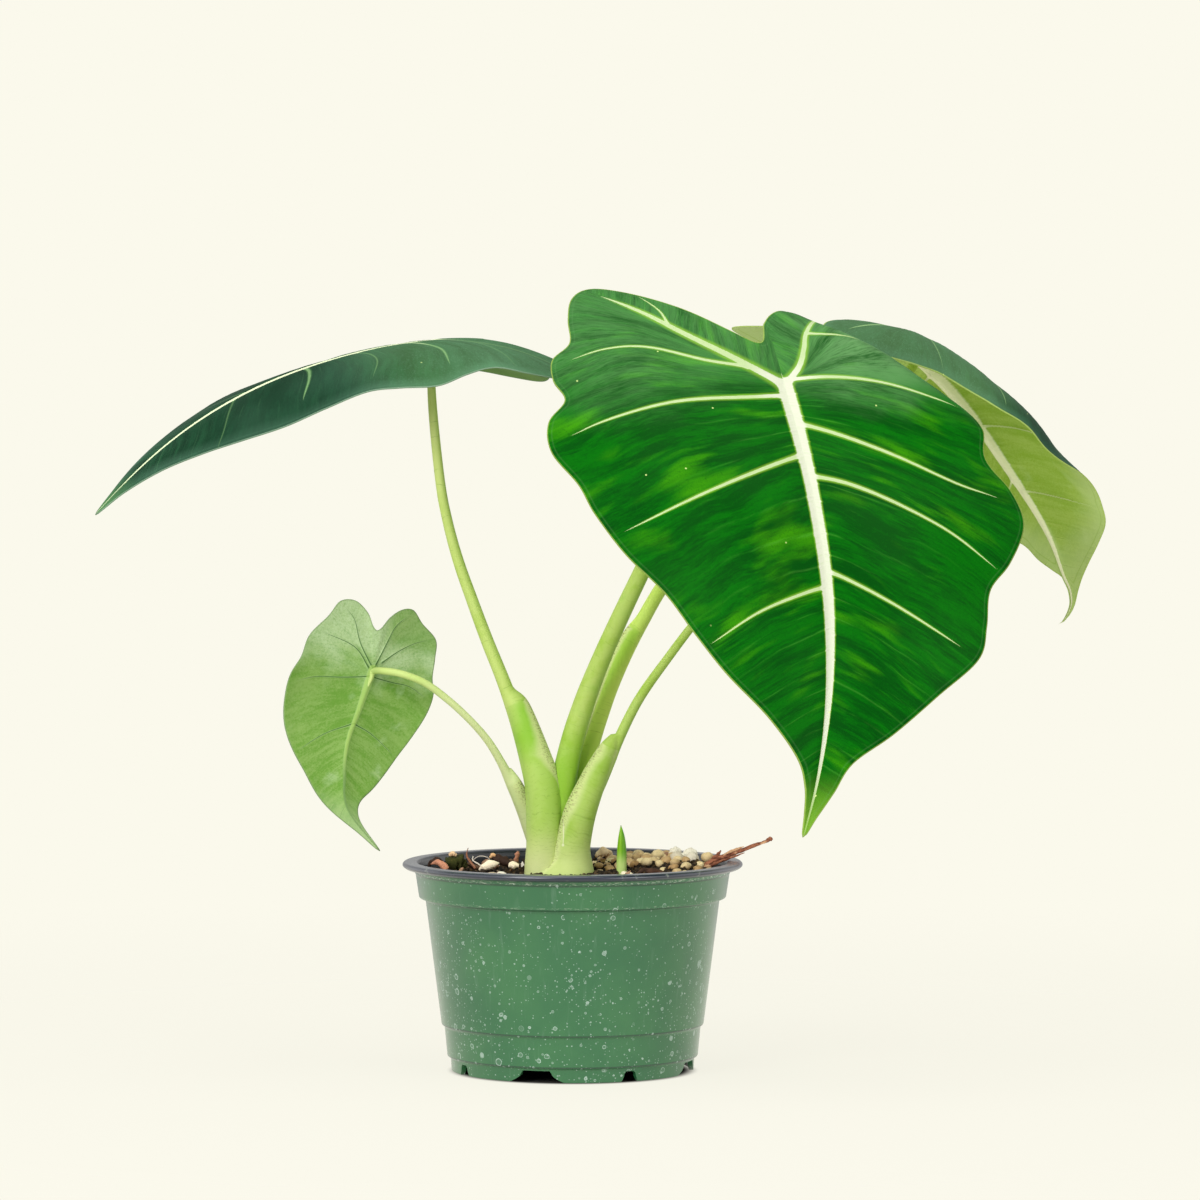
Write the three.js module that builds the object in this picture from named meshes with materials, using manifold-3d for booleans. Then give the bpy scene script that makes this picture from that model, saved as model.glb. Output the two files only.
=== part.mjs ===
// Alocasia frydek in its nursery pot.
// Millimetres, +Z up. The origin is the centre of the pot's base, on the surface it stands on.
// The front of the plant looks along -Y.

import * as THREE from "three";
import { mergeGeometries, mergeVertices } from "three/addons/utils/BufferGeometryUtils.js";
import Module from "manifold-3d";

const wasm = await Module();
wasm.setup();

// ---- driving dimensions ----

const seatGap = 0.3; // left between pieces that touch
const potSegments = 36;
const lipRadius = 80;
const lipTop = 98.3;
const wall = 1.6; // pot wall, measured across
const floorTop = 7.8;
const padRadius = 11; // round dimple under the floor that reaches the surface the pot stands on
const footRingInner = 54.4;
const soilRim = 91.5; // height of the soil where it meets the pot
const stemDepth = 84; // height of the crown's foot, inside the soil
const bladeThickness = 0.9;

// ---- small helpers ----

const radians = THREE.MathUtils.degToRad;

// Smooth curve through [place, value] rows, flat past both ends.
function along(rows, place) {
  const last = rows.length - 1;
  const at = THREE.MathUtils.clamp(place, rows[0][0], rows[last][0]);
  let k = 0;
  while (k < last - 1 && at >= rows[k + 1][0]) k += 1;
  const span = rows[k + 1][0] - rows[k][0];
  const t = (at - rows[k][0]) / span;
  if (last === 1) return THREE.MathUtils.lerp(rows[0][1], rows[1][1], t);
  const step = (i) => (rows[i + 1][1] - rows[i][1]) / (rows[i + 1][0] - rows[i][0]);
  const slope = (i) => {
    if (i === 0) return step(0);
    if (i === last) return step(last - 1);
    const before = rows[i][0] - rows[i - 1][0];
    const after = rows[i + 1][0] - rows[i][0];
    return (step(i - 1) * after + step(i) * before) / (before + after);
  };
  const t2 = t * t;
  const t3 = t2 * t;
  return (2 * t3 - 3 * t2 + 1) * rows[k][1] + (t3 - 2 * t2 + t) * span * slope(k)
    + (3 * t2 - 2 * t3) * rows[k + 1][1] + (t3 - t2) * span * slope(k + 1);
}

// Seeded random numbers from 0 to 1.
function randomStream(seed) {
  let state = seed;
  return () => {
    state = (state + 0x6d2b79f5) | 0;
    let t = Math.imul(state ^ (state >>> 15), 1 | state);
    t = (t + Math.imul(t ^ (t >>> 7), 61 | t)) ^ t;
    return ((t ^ (t >>> 14)) >>> 0) / 4294967296;
  };
}

function indexedGeometry(points, faces) {
  const geometry = new THREE.BufferGeometry();
  geometry.setAttribute("position", new THREE.Float32BufferAttribute(points.flatMap((p) => [p.x, p.y, p.z]), 3));
  geometry.setIndex(faces.flat());
  return geometry;
}

function toSolid(geometry) {
  const bare = geometry.clone();
  bare.deleteAttribute("normal");
  bare.deleteAttribute("uv");
  const merged = mergeVertices(bare, 1e-3);
  return new wasm.Manifold(new wasm.Mesh({
    numProp: 3,
    vertProperties: new Float32Array(merged.attributes.position.array),
    triVerts: new Uint32Array(merged.index.array),
  }));
}

function toGeometry(solid) {
  const mesh = solid.getMesh();
  const geometry = new THREE.BufferGeometry();
  geometry.setAttribute("position", new THREE.Float32BufferAttribute(mesh.vertProperties, 3));
  geometry.setIndex(Array.from(mesh.triVerts));
  return geometry;
}

// The largest body of a solid that a cut may have left in several, without its slivers.
function mainBody(solid) {
  const bodies = toSolid(toGeometry(solid.simplify(0.05))).decompose();
  return bodies.reduce((best, body) => (body.volume() > best.volume() ? body : best), bodies[0]);
}

// Round bar through [x, y, z, radius] stations, with flat ends; grow makes it larger all round.
function taperedTube(stations, sides, stepsPerSpan, grow = 0) {
  const centres = stations.map(([x, y, z]) => new THREE.Vector3(x, y, z));
  const curve = new THREE.CatmullRomCurve3(centres, false, "catmullrom", 0.5);
  const radii = stations.map((station, i) => [i, station[3]]);
  const steps = (stations.length - 1) * stepsPerSpan;
  const points = [];
  const faces = [];
  const side = new THREE.Vector3(0, 1, 0);
  for (let i = 0; i <= steps; i += 1) {
    const ahead = curve.getTangent(i / steps);
    const beyond = i === 0 ? -grow : (i === steps ? grow : 0);
    const centre = curve.getPoint(i / steps).addScaledVector(ahead, beyond);
    side.addScaledVector(ahead, -side.dot(ahead)).normalize();
    const up = new THREE.Vector3().crossVectors(ahead, side);
    const radius = along(radii, i / stepsPerSpan) + grow;
    for (let j = 0; j < sides; j += 1) {
      const angle = (2 * Math.PI * j) / sides;
      points.push(centre.clone()
        .addScaledVector(side, radius * Math.cos(angle))
        .addScaledVector(up, radius * Math.sin(angle)));
    }
  }
  for (let i = 0; i < steps; i += 1) {
    for (let j = 0; j < sides; j += 1) {
      const a = i * sides + j;
      const b = i * sides + ((j + 1) % sides);
      faces.push([a, b, b + sides], [a, b + sides, a + sides]);
    }
  }
  for (let j = 1; j < sides - 1; j += 1) {
    const top = steps * sides;
    faces.push([0, j + 1, j], [top, top + j, top + j + 1]);
  }
  return indexedGeometry(points, faces);
}

// ---- pot ----

const potOutside = [
  [padRadius, 0], [14, 6.2], [footRingInner, 6.2], [54.8, 0], [57, 0], [57.4, 6.3], [59, 6.9],
  [60.3, 20.8], [61.7, 21.8], [69.2, 80.6], [72.2, 81.6], [73.8, 92.4], [74.2, 93.2], [74.2, 94.4],
  [78.8, 95.4], [lipRadius, 96.4], [lipRadius, 97.4], [lipRadius - 0.9, lipTop],
];
const potInside = [
  [73.6, lipTop], [72.4, 97.3], [73 - wall, 92.4], [71.2 - wall, 82], [69.2 - wall, 81],
  [61.7 - wall, 22], [60.3 - wall, 21], [59 - wall, 8.2], [57, floorTop], [13, floorTop], [padRadius - 1, 1.6],
];

function ringArch(bottomWidth, topWidth, height) {
  const shape = new THREE.Shape();
  const shoulder = height * 0.75;
  shape.moveTo(-bottomWidth / 2, -1);
  shape.lineTo(bottomWidth / 2, -1);
  shape.lineTo(bottomWidth / 2, 0);
  shape.quadraticCurveTo(topWidth / 2, shoulder * 0.6, topWidth / 2, shoulder);
  shape.lineTo(topWidth / 2 - 1, height);
  shape.lineTo(1 - topWidth / 2, height);
  shape.lineTo(-topWidth / 2, shoulder);
  shape.quadraticCurveTo(-topWidth / 2, shoulder * 0.6, -bottomWidth / 2, 0);
  const arch = new THREE.ExtrudeGeometry(shape, { depth: 8, bevelEnabled: false, curveSegments: 3 });
  arch.rotateX(Math.PI / 2);
  arch.translate(0, -(footRingInner - 3), 0);
  return arch;
}

function makePot() {
  const profile = [[0, 0], ...potOutside, ...potInside, [0, 1.6]].map(([r, z]) => new THREE.Vector2(r, z));
  const body = new THREE.LatheGeometry(profile, potSegments);
  body.rotateX(Math.PI / 2);
  let pot = toSolid(body);
  const wideArch = ringArch(27, 15, 5.6);
  const narrowArch = ringArch(9, 6, 5);
  for (let i = 0; i < 8; i += 1) {
    const arch = (i % 2 ? narrowArch : wideArch).clone();
    arch.rotateZ(radians(-17 + 45 * i));
    pot = pot.subtract(toSolid(arch));
    const drain = new THREE.CylinderGeometry(4, 4, 6, 8);
    drain.rotateX(Math.PI / 2);
    drain.translate(38, 0, 7);
    drain.rotateZ(radians(22.5 + 45 * i));
    pot = pot.subtract(toSolid(drain));
  }
  return pot;
}

// ---- stalks, each with the sheath at its foot, as [x, y, z, radius] ----

const stalks = {
  a: {
    stalk: [
      [-6.4, 0, stemDepth, 6.6], [-6, 0, 110, 6.2], [-4, -1, 135.5, 5.9], [0, -2, 155.5, 5.4],
      [6, -3, 174.5, 5], [13.3, -5, 193.3, 4.5], [21.7, -8, 212.3, 4.2], [30.5, -11, 231, 4],
      [41, -14.5, 252.5, 3.8], [55, -18, 276, 3.7], [70, -21, 297, 3.6], [84, -25, 311, 3.6],
    ],
  },
  b: {
    stalk: [
      [-15.3, -4, stemDepth, 6.2], [-16, -3.5, 108, 5.7], [-17.2, -2, 131, 5], [-20.5, -1, 146, 4.4],
      [-26, 1, 165, 3.8], [-32.7, 2, 183.5, 3.2], [-40.2, 4, 202, 3], [-47.3, 6, 221, 2.8],
      [-54, 8, 240, 2.6], [-59, 10, 258.5, 2.4], [-62.4, 11, 277, 2.3], [-66, 14, 312, 2.1],
    ],
    sheath: [
      [-14.8, -5, stemDepth, 8], [-14.6, -5, 97, 7.9], [-13.4, -5, 113, 7.5], [-13.4, -4, 127.5, 7.8],
      [-14.8, -3, 138, 7.7], [-17.4, -2, 147.5, 7], [-23.3, 0, 165, 5.7], [-26.8, 1, 173, 4.8],
      [-29.7, 2, 178.5, 2.4],
    ],
  },
  c: {
    stalk: [
      [-14, 8, stemDepth, 4.3], [-15.2, 8, 99, 4.2], [-21, 6, 117, 3.6], [-25.2, 3, 127, 3],
      [-29.4, 0, 136.5, 2.5], [-34, -4, 146, 2], [-40, -8, 156, 1.8], [-48, -13, 165.6, 1.7],
      [-58, -18, 175.3, 1.7], [-68.8, -22, 183.5, 1.7], [-79.5, -22, 187.7, 1.7], [-88, -19.5, 189, 1.7],
    ],
    sheath: [
      [-14, 8, stemDepth, 4.7], [-15.6, 8, 102, 4.6], [-20.3, 6, 117, 4.3], [-24, 4, 127, 4],
      [-27.6, 1, 135, 3.4], [-30, -1, 141, 1.5],
    ],
  },
  d: {
    stalk: [
      [-1.2, 5, stemDepth, 6.2], [-0.4, 5.5, 106, 5.5], [3.7, 8, 133.5, 4.4], [9.4, 12, 154.5, 3.8],
      [15.5, 16, 173, 3.6], [23.5, 20, 192, 3.5], [32.8, 25, 210, 3.4], [45, 31, 230, 3.2],
      [72, 43, 266, 3], [104, 58, 297, 2.8], [138, 73, 317, 2.7], [158, 82, 325, 2.6],
    ],
    sheath: [
      [-2, 4, stemDepth, 5], [-0.6, 5, 112, 5], [3.5, 7, 136, 4.6], [9.1, 10.5, 154.5, 4],
      [15.3, 14.5, 173, 3.8], [22, 19, 192, 3.6], [26, 21.5, 201, 3.4], [31.5, 25, 211.5, 1.2],
    ],
  },
  e: {
    stalk: [
      [-0.3, -6, stemDepth, 7], [0.8, -6, 106, 6.6], [5.9, -6, 123, 4.6], [13.4, -5, 137, 3.2],
      [17.4, -5, 146, 2.8], [21.4, -4.5, 155.5, 2.5], [31, -3.5, 174.5, 2.3], [44, -2, 193, 2.1],
      [60, 0, 213.7, 2], [77, 2, 231.5, 1.9], [95, 4, 248, 1.8], [115, 5, 260, 1.8],
    ],
    sheath: [
      [-4.7, -5, stemDepth, 15.5], [-4.5, -5, 93.5, 14.8], [-2, -5, 98.5, 11.4], [-0.2, -6, 105, 8.6],
      [1.2, -6.5, 111.5, 7.9], [3.8, -7, 122, 7.4], [9.3, -7, 136, 5.9], [14.2, -6.5, 146.5, 4.6],
      [17, -6, 152, 3.6], [19.7, -5.5, 157.5, 1.5],
    ],
  },
};
const nesting = ["a", "d", "b", "c", "e"]; // from the heart of the crown outwards

// ---- blades ----

// Every blade is laid out flat, its stalk joining at the origin and its tip on +Y, and then shaped:
//   along, faces    the way the midrib leaves the joint, and the way the upper face looks there
//   dip             how far the midrib has turned down, in degrees, at each distance from the joint
//   drift           how far the midrib has strayed sideways
//   rise            the angle at which each half leaves the midrib, then bend rounds it down, per mm
//   roll            an optional fold line, past which the blade rolls under
//   outline         margin from the notch round by the tip, as [distance from midrib, distance along]
//   waves           height and number of the waves along the margin
//   rings, crowding how many rings the blade has, and how much closer they lie towards the margin

const blades = {
  a: {
    joint: [98.6, -38, 322.8],
    along: [0.17, -0.6, -0.78],
    faces: [0.24, -0.76, 0.6],
    dip: [[-110, -24], [-40, -14], [0, 0], [60, 12], [120, 20], [180, 24], [260, 26]],
    drift: [[-100, 0], [0, 0], [60, -4], [120, -5], [160, -1], [200, 8], [221, 15]],
    riseLeft: [[-110, 14], [0, 10], [150, 12], [260, 25]],
    riseRight: [[-110, 14], [0, 10], [150, 12], [260, 25]],
    bendLeft: [[-110, 0.006], [0, 0.0045], [100, 0.0045], [200, 0.004], [260, 0.002]],
    bendRight: [[-110, 0.006], [0, 0.0045], [100, 0.004], [200, 0.004], [260, 0.002]],
    roll: { through: [-32, -24], towards: 232, radius: 15, most: 110 },
    outline: [
      [6, -26], [20, -32], [42, -48], [65, -62], [80, -67], [90, -62], [95, -48], [98, -30], [108, -20],
      [110, -8], [107, 4], [117, 16], [119, 32], [110, 50], [105, 66], [94, 88], [78, 108], [65, 128],
      [50, 148], [29, 168], [12, 186], [6, 198], [3, 210], [0, 221], [-4, 212], [-9, 201], [-15, 188],
      [-32, 175], [-52, 157], [-71, 140], [-76, 124], [-80, 106], [-92, 92], [-103, 72], [-101, 54],
      [-91, 38], [-93, 22], [-86, 6], [-82, -12], [-84, -32], [-78, -52], [-64, -66], [-46, -68],
      [-26, -60], [-8, -50], [0, -42],
    ],
    waves: { height: 1.2, count: 13 },
    rings: 6,
    crowding: 1.1,
  },
  b: {
    joint: [-67.2, 15, 343.7],
    along: [-0.97, -0.23, 0],
    faces: [0, 0, 1],
    dip: [
      [-80, -26], [-60, -20], [-45, -14], [-30, -6], [-15, 0], [0, 5], [15, 8.5], [37, 14], [63, 19],
      [90, 26], [120, 34], [150, 42], [178, 47], [200, 48],
    ],
    drift: [[-100, 0], [190, 0]],
    riseLeft: [[-80, -6], [20, -4], [60, -2], [90, 2], [130, 5], [160, 8], [200, 8]],
    riseRight: [[-80, -8], [-20, -6], [20, -6], [60, -9], [200, -14]],
    bendLeft: [[-80, 0.005], [200, 0.004]],
    bendRight: [[-80, 0.003], [-30, 0.005], [20, 0.0065], [60, 0.008], [100, 0.008], [150, 0.012], [200, 0.012]],
    outline: [
      [0, -26], [8, -34], [20, -56], [34, -70], [48, -70], [58, -56], [60, -38], [56, -22], [60, -4],
      [64, 12], [58, 30], [54, 48], [51, 68], [46, 88], [38, 108], [26, 128], [14, 150], [6, 168], [0, 184],
      [-7, 168], [-17, 150], [-30, 130], [-41, 110], [-48, 90], [-50, 68], [-52, 46], [-58, 30], [-64, 12],
      [-60, -4], [-56, -20], [-58, -36], [-54, -54], [-42, -68], [-28, -64], [-14, -48], [-4, -34],
    ],
    waves: { height: 1, count: 9 },
    rings: 5,
    crowding: 1,
  },
  c: {
    joint: [-93.9, -10, 189.4],
    along: [-0.1, -0.3, -0.95],
    faces: [-0.38, 0.86, 0.3],
    dip: [[-40, -16], [0, 0], [40, 10], [70, 6], [110, -14]],
    drift: [[-60, 0], [0, 0], [20, -5], [40, -11], [55, -12], [75, -7], [84, 4], [90, 12]],
    riseLeft: [[-40, 12], [0, 10], [110, 22]],
    riseRight: [[-40, 12], [0, 10], [110, 22]],
    bendLeft: [[-40, 0.01], [110, 0.01]],
    bendRight: [[-40, 0.01], [110, 0.01]],
    outline: [
      [-1, -19], [4, -26], [10, -31], [16, -32], [22, -27], [30, -21], [31, -12], [32, -3], [35, 5], [35, 14],
      [33, 24], [30, 35], [24, 48], [17, 58], [10, 66], [6, 73], [3, 80], [0, 88], [-4, 80], [-12, 69],
      [-20, 57], [-30, 42], [-38, 26], [-41, 13], [-38, 2], [-36, -9], [-28, -20], [-23, -28], [-15, -30],
      [-8, -26], [-4, -20],
    ],
    waves: { height: 0.6, count: 9 },
    rings: 4,
    crowding: 1.2,
  },
  d: {
    joint: [167.3, 90, 334.4],
    along: [0.718, 0.322, -0.607],
    faces: [0.308, 0.633, 0.702],
    dip: [[-90, -44], [-60, -38], [-25, -24], [0, -4], [30, 13], [70, 25], [110, 29], [150, 33]],
    drift: [[-100, 0], [60, -1], [115, 0], [130, -3], [139, -4], [145, -8], [149, -15], [151.5, -22]],
    riseLeft: [[-90, 0], [20, 4], [50, 7], [90, 4], [150, 0]],
    riseRight: [[-90, 25], [-30, 15], [20, 0], [150, 0]],
    bendLeft: [[-90, 0.026], [0, 0.024], [50, 0.0185], [80, 0.0155], [110, 0.008], [130, 0.0066], [150, 0.005]],
    bendRight: [[-90, 0.004], [0, 0.01], [60, 0.013], [150, 0.011]],
    outline: [
      [-2, -24], [10, -44], [16, -68], [28, -88], [42, -86], [52, -68], [57, -42], [59, -20], [62, 0],
      [67, 20], [73, 36], [75, 52], [75, 66], [68, 80], [54, 93], [45, 106], [41, 116], [31, 123], [18, 130],
      [8, 136], [3, 142], [2, 148], [0, 151.5], [-2, 147], [-2, 140], [-1.5, 131], [-5.5, 125], [-12, 117],
      [-18, 106], [-34, 92], [-52, 72], [-62, 52], [-60, 30], [-56, 10], [-54, -12], [-56, -34], [-50, -62],
      [-40, -84], [-26, -80], [-14, -58], [-6, -38],
    ],
    waves: { height: 1, count: 9 },
    rings: 7,
    crowding: 1.6,
  },
  e: {
    joint: [130.3, 2, 268.2],
    along: [0.35, -0.35, -0.87],
    faces: [0.55, -0.45, 0.7],
    dip: [[-40, -20], [0, 0], [40, 10], [110, 16]],
    drift: [[-60, 0], [40, -2], [120, 0]],
    riseLeft: [[-40, 12], [0, 10], [110, 22]],
    riseRight: [[-40, 12], [0, 10], [110, 22]],
    bendLeft: [[-40, 0.01], [110, 0.01]],
    bendRight: [[-40, 0.01], [110, 0.01]],
    outline: [
      [0, -15], [6, -24], [14, -32], [23, -32], [29, -22], [32, -8], [36, 8], [35, 26], [29, 46], [20, 64],
      [10, 80], [3, 92], [0, 106], [-6, 90], [-15, 74], [-26, 56], [-33, 38], [-36, 18], [-35, 2], [-31, -12],
      [-29, -26], [-20, -34], [-11, -28], [-5, -20],
    ],
    waves: { height: 0.8, count: 9 },
    rings: 4,
    crowding: 1,
  },
};

// The midrib's curve in its own upright plane: distance travelled, depth and slope at any place.
function makeSpine(dip) {
  const first = dip[0][0];
  const last = dip[dip.length - 1][0];
  const count = 400;
  const step = (last - first) / count;
  const slopes = [];
  const reach = [0];
  const depth = [0];
  for (let i = 0; i <= count; i += 1) slopes.push(radians(along(dip, first + i * step)));
  for (let i = 0; i < count; i += 1) {
    const slope = (slopes[i] + slopes[i + 1]) / 2;
    reach.push(reach[i] + Math.cos(slope) * step);
    depth.push(depth[i] - Math.sin(slope) * step);
  }
  const sample = (list, place) => {
    const at = THREE.MathUtils.clamp((place - first) / step, 0, count);
    const k = Math.min(Math.floor(at), count - 1);
    return THREE.MathUtils.lerp(list[k], list[k + 1], at - k);
  };
  const reachAtJoint = sample(reach, 0);
  const depthAtJoint = sample(depth, 0);
  return (place) => ({
    reach: sample(reach, place) - reachAtJoint,
    depth: sample(depth, place) - depthAtJoint,
    slope: sample(slopes, place),
  });
}

// Returns the function that takes a flat place on the blade, and a height over it, to its place in space.
function bladeShape(blade) {
  const spine = makeSpine(blade.dip);
  const joint = new THREE.Vector3(...blade.joint);
  const ahead = new THREE.Vector3(...blade.along).normalize();
  const face = new THREE.Vector3(...blade.faces);
  face.addScaledVector(ahead, -face.dot(ahead)).normalize();
  const left = new THREE.Vector3().crossVectors(ahead, face);
  return (offset, place, height) => {
    const isLeft = offset >= 0;
    const sign = isLeft ? 1 : -1;
    const bend = along(isLeft ? blade.bendLeft : blade.bendRight, place);
    const rise = radians(along(isLeft ? blade.riseLeft : blade.riseRight, place));
    const lean = bend * Math.abs(offset) - rise;
    let across = along(blade.drift, place)
      + sign * ((Math.sin(lean) + Math.sin(rise)) / bend + height * Math.sin(lean));
    let level = (Math.cos(lean) - Math.cos(rise)) / bend + height * Math.cos(lean);
    let forward = place;
    if (blade.roll) {
      const { through, towards, radius, most } = blade.roll;
      const dx = Math.cos(radians(towards));
      const dy = Math.sin(radians(towards));
      const past = (across - through[0]) * dx + (forward - through[1]) * dy;
      if (past > 0) {
        const turn = Math.min(past / radius, radians(most));
        const rest = past - radius * turn;
        const moved = radius * Math.sin(turn) + rest * Math.cos(turn) + level * Math.sin(turn);
        level = radius * (Math.cos(turn) - 1) - rest * Math.sin(turn) + level * Math.cos(turn);
        across += (moved - past) * dx;
        forward += (moved - past) * dy;
      }
    }
    const { reach, depth, slope } = spine(forward);
    return joint.clone()
      .addScaledVector(left, across)
      .addScaledVector(ahead, reach + level * Math.sin(slope))
      .addScaledVector(face, depth + level * Math.cos(slope));
  };
}

// A blade is a fan of rings from its joint to its margin, alike on both faces; grow thickens both.
function makeBlade(blade, grow = 0) {
  const shape = bladeShape(blade);
  const corners = blade.outline.map(([x, y]) => new THREE.Vector3(x, y, 0));
  const margin = new THREE.CatmullRomCurve3(corners, true, "catmullrom", 0.5);
  const sectors = corners.length * 2;
  const points = [];
  const faces = [];
  for (const height of [grow, -bladeThickness - grow]) {
    points.push(shape(0, 0, height));
    for (let ring = 1; ring <= blade.rings; ring += 1) {
      const out = 1 - (1 - ring / blade.rings) ** blade.crowding;
      for (let j = 0; j < sectors; j += 1) {
        const edge = margin.getPoint(j / sectors);
        const calm = Math.abs(Math.sin((2 * Math.PI * j) / sectors)); // no wave at the tip or the notch
        const wave = blade.waves.height * calm * out ** 3
          * Math.sin((2 * Math.PI * blade.waves.count * j) / sectors);
        points.push(shape(edge.x * out, edge.y * out, height + wave));
      }
    }
  }
  const under = points.length / 2;
  const node = (ring, j) => 1 + (ring - 1) * sectors + (j % sectors);
  for (let j = 0; j < sectors; j += 1) {
    const fan = [0, node(1, j), node(1, j + 1)];
    faces.push(fan, [under + fan[0], under + fan[2], under + fan[1]]);
    for (let ring = 1; ring < blade.rings; ring += 1) {
      const a = node(ring, j);
      const b = node(ring + 1, j);
      const c = node(ring + 1, j + 1);
      const d = node(ring, j + 1);
      faces.push([a, b, c], [a, c, d], [under + a, under + c, under + b], [under + a, under + d, under + c]);
    }
    const a = node(blade.rings, j);
    const b = node(blade.rings, j + 1);
    faces.push([a, under + a, under + b], [a, under + b, b]);
  }
  return indexedGeometry(points, faces);
}

// ---- stalks ----

// The stalk's last station is inside the blade, at the joint, until the blade is cut from it.
function stalkSolid(name, grow) {
  const { stalk, sheath } = stalks[name];
  const end = bladeShape(blades[name])(0, 0, -bladeThickness / 2);
  const stations = [...stalk, [end.x, end.y, end.z, stalk[stalk.length - 1][3]]];
  const whole = toSolid(taperedTube(stations, 10, 1, grow));
  return sheath ? whole.add(toSolid(taperedTube(sheath, 12, 1, grow))) : whole;
}

function makeStalks() {
  const done = {};
  let inner = null;
  for (const name of nesting) {
    let stalk = stalkSolid(name, 0).subtract(toSolid(makeBlade(blades[name], seatGap)));
    if (inner) stalk = stalk.subtract(inner);
    done[name] = mainBody(stalk);
    const widened = stalkSolid(name, seatGap);
    inner = inner ? inner.add(widened) : widened;
  }
  return { done, inner };
}

// ---- shoot and twig ----

const shootStations = [
  [23, -12, stemDepth, 2.3], [23, -12, 95, 2.4], [23.1, -12, 104.5, 2.1], [23.2, -12, 111, 1.3],
  [23.2, -12, 116, 0.3],
];
const twigStations = [
  [59, 2, 94, 1.1], [66, 5, 97.7, 1.5], [73, 8, 100.3, 1.7], [79, 10.5, 102.2, 1.5], [86, 13.5, 104.6, 1.2],
  [91, 15.5, 106.2, 1.2], [93.5, 16.5, 107.4, 1.5],
];

// ---- soil ----

const random = randomStream(7);

// Height of the soil's surface: level at the pot's wall, higher on the right, uneven between.
function soilHeight(x, y) {
  const fromWall = 1 - Math.hypot(x, y) / 71;
  const swell = THREE.MathUtils.clamp(fromWall * 5, 0, 1);
  const uneven = Math.sin(x * 0.21 + 1.3) * Math.cos(y * 0.17) + 0.6 * Math.sin(x * 0.43 - y * 0.37);
  return soilRim + swell * (1.6 + 0.026 * x + 0.7 * uneven);
}

function makeSoilBody() {
  const sectors = 24;
  const rings = [9, 24, 38, 52, 63, 70.6];
  const flats = Math.cos(Math.PI / potSegments); // the pot's flats lie this much nearer than its corners
  const below = potInside
    .filter(([, z]) => z < soilRim)
    .map(([radius, z]) => [radius * flats - seatGap, z + seatGap]);
  const points = [new THREE.Vector3(0, 0, soilHeight(0, 0))];
  const faces = [];
  const turn = (j) => (2 * Math.PI * j) / sectors;
  const addRing = (radius, heightOf) => {
    for (let j = 0; j < sectors; j += 1) {
      const x = radius * Math.cos(turn(j));
      const y = radius * Math.sin(turn(j));
      points.push(new THREE.Vector3(x, y, heightOf(x, y)));
    }
  };
  for (const radius of rings) addRing(radius, soilHeight);
  for (const [radius, z] of below) addRing(radius, () => z);
  const ringCount = rings.length + below.length;
  points.push(new THREE.Vector3(0, 0, below[below.length - 1][1]));
  const node = (ring, j) => 1 + ring * sectors + (j % sectors);
  for (let j = 0; j < sectors; j += 1) {
    faces.push([0, node(0, j), node(0, j + 1)]);
    for (let ring = 0; ring < ringCount - 1; ring += 1) {
      const a = node(ring, j);
      const b = node(ring, j + 1);
      const c = node(ring + 1, j + 1);
      const d = node(ring + 1, j);
      faces.push([a, c, b], [a, d, c]);
    }
    faces.push([points.length - 1, node(ringCount - 1, j + 1), node(ringCount - 1, j)]);
  }
  return toSolid(indexedGeometry(points, faces));
}

// Places for grains inside a stretch of the surface, never closer to each other than apart.
function scatter(count, apart, inside) {
  const places = [];
  for (let tries = 0; tries < count * 60 && places.length < count; tries += 1) {
    const radius = 65 * Math.sqrt(random());
    const angle = 2 * Math.PI * random();
    const x = radius * Math.cos(angle);
    const y = radius * Math.sin(angle);
    const clear = places.every((place) => Math.hypot(place[0] - x, place[1] - y) >= apart);
    const nearCrown = Math.hypot(x + 6, y + 3) < 23;
    const nearShoot = Math.hypot(x - 23, y + 12) < 6;
    if (clear && !nearCrown && !nearShoot && inside(x, y)) places.push([x, y]);
  }
  return places;
}

function grain(kind, x, y) {
  const size = kind.size * (0.8 + 0.45 * random());
  const body = kind.flat ? new THREE.BoxGeometry(1, 1, 1) : new THREE.IcosahedronGeometry(1, 0);
  body.scale(size * kind.long, size, size * kind.tall);
  body.rotateX((random() - 0.5) * kind.tilt);
  body.rotateY((random() - 0.5) * kind.tilt);
  body.rotateZ(random() * Math.PI);
  body.translate(x, y, soilHeight(x, y) + size * kind.tall * kind.proud);
  return toSolid(body);
}

const grainKinds = [
  { count: 26, apart: 6.8, size: 2.7, long: 1.25, tall: 0.85, tilt: 0.5, proud: 0.45, inside: (x) => x > 9 },
  { count: 8, apart: 9, size: 3.1, long: 1.1, tall: 0.9, tilt: 1.5, proud: 0.35, inside: () => true },
  { count: 12, apart: 8, size: 3.4, long: 2, tall: 0.5, tilt: 0.7, proud: 0.3, flat: true, inside: (x) => x < 30 },
];

function makeSoil(stems) {
  let soil = makeSoilBody();
  for (const kind of grainKinds) {
    for (const [x, y] of scatter(kind.count, kind.apart, kind.inside)) soil = soil.add(grain(kind, x, y));
  }
  return mainBody(soil.subtract(stems));
}

// ---- assembly ----

const finishes = {
  pot: { color: 0x50835c, roughness: 0.45 },
  soil: { color: 0x3a2c1e, roughness: 0.95 },
  stalk: { color: 0xa9c65f, roughness: 0.5 },
  bladeTop: { color: 0x1f7a2e, roughness: 0.45 },
  bladeDark: { color: 0x2f6b4a, roughness: 0.45 },
  bladePale: { color: 0x8fb05a, roughness: 0.5 },
  shoot: { color: 0x6fae2e, roughness: 0.5 },
  twig: { color: 0x8a4a30, roughness: 0.8 },
};

const plant = new THREE.Group();

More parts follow.
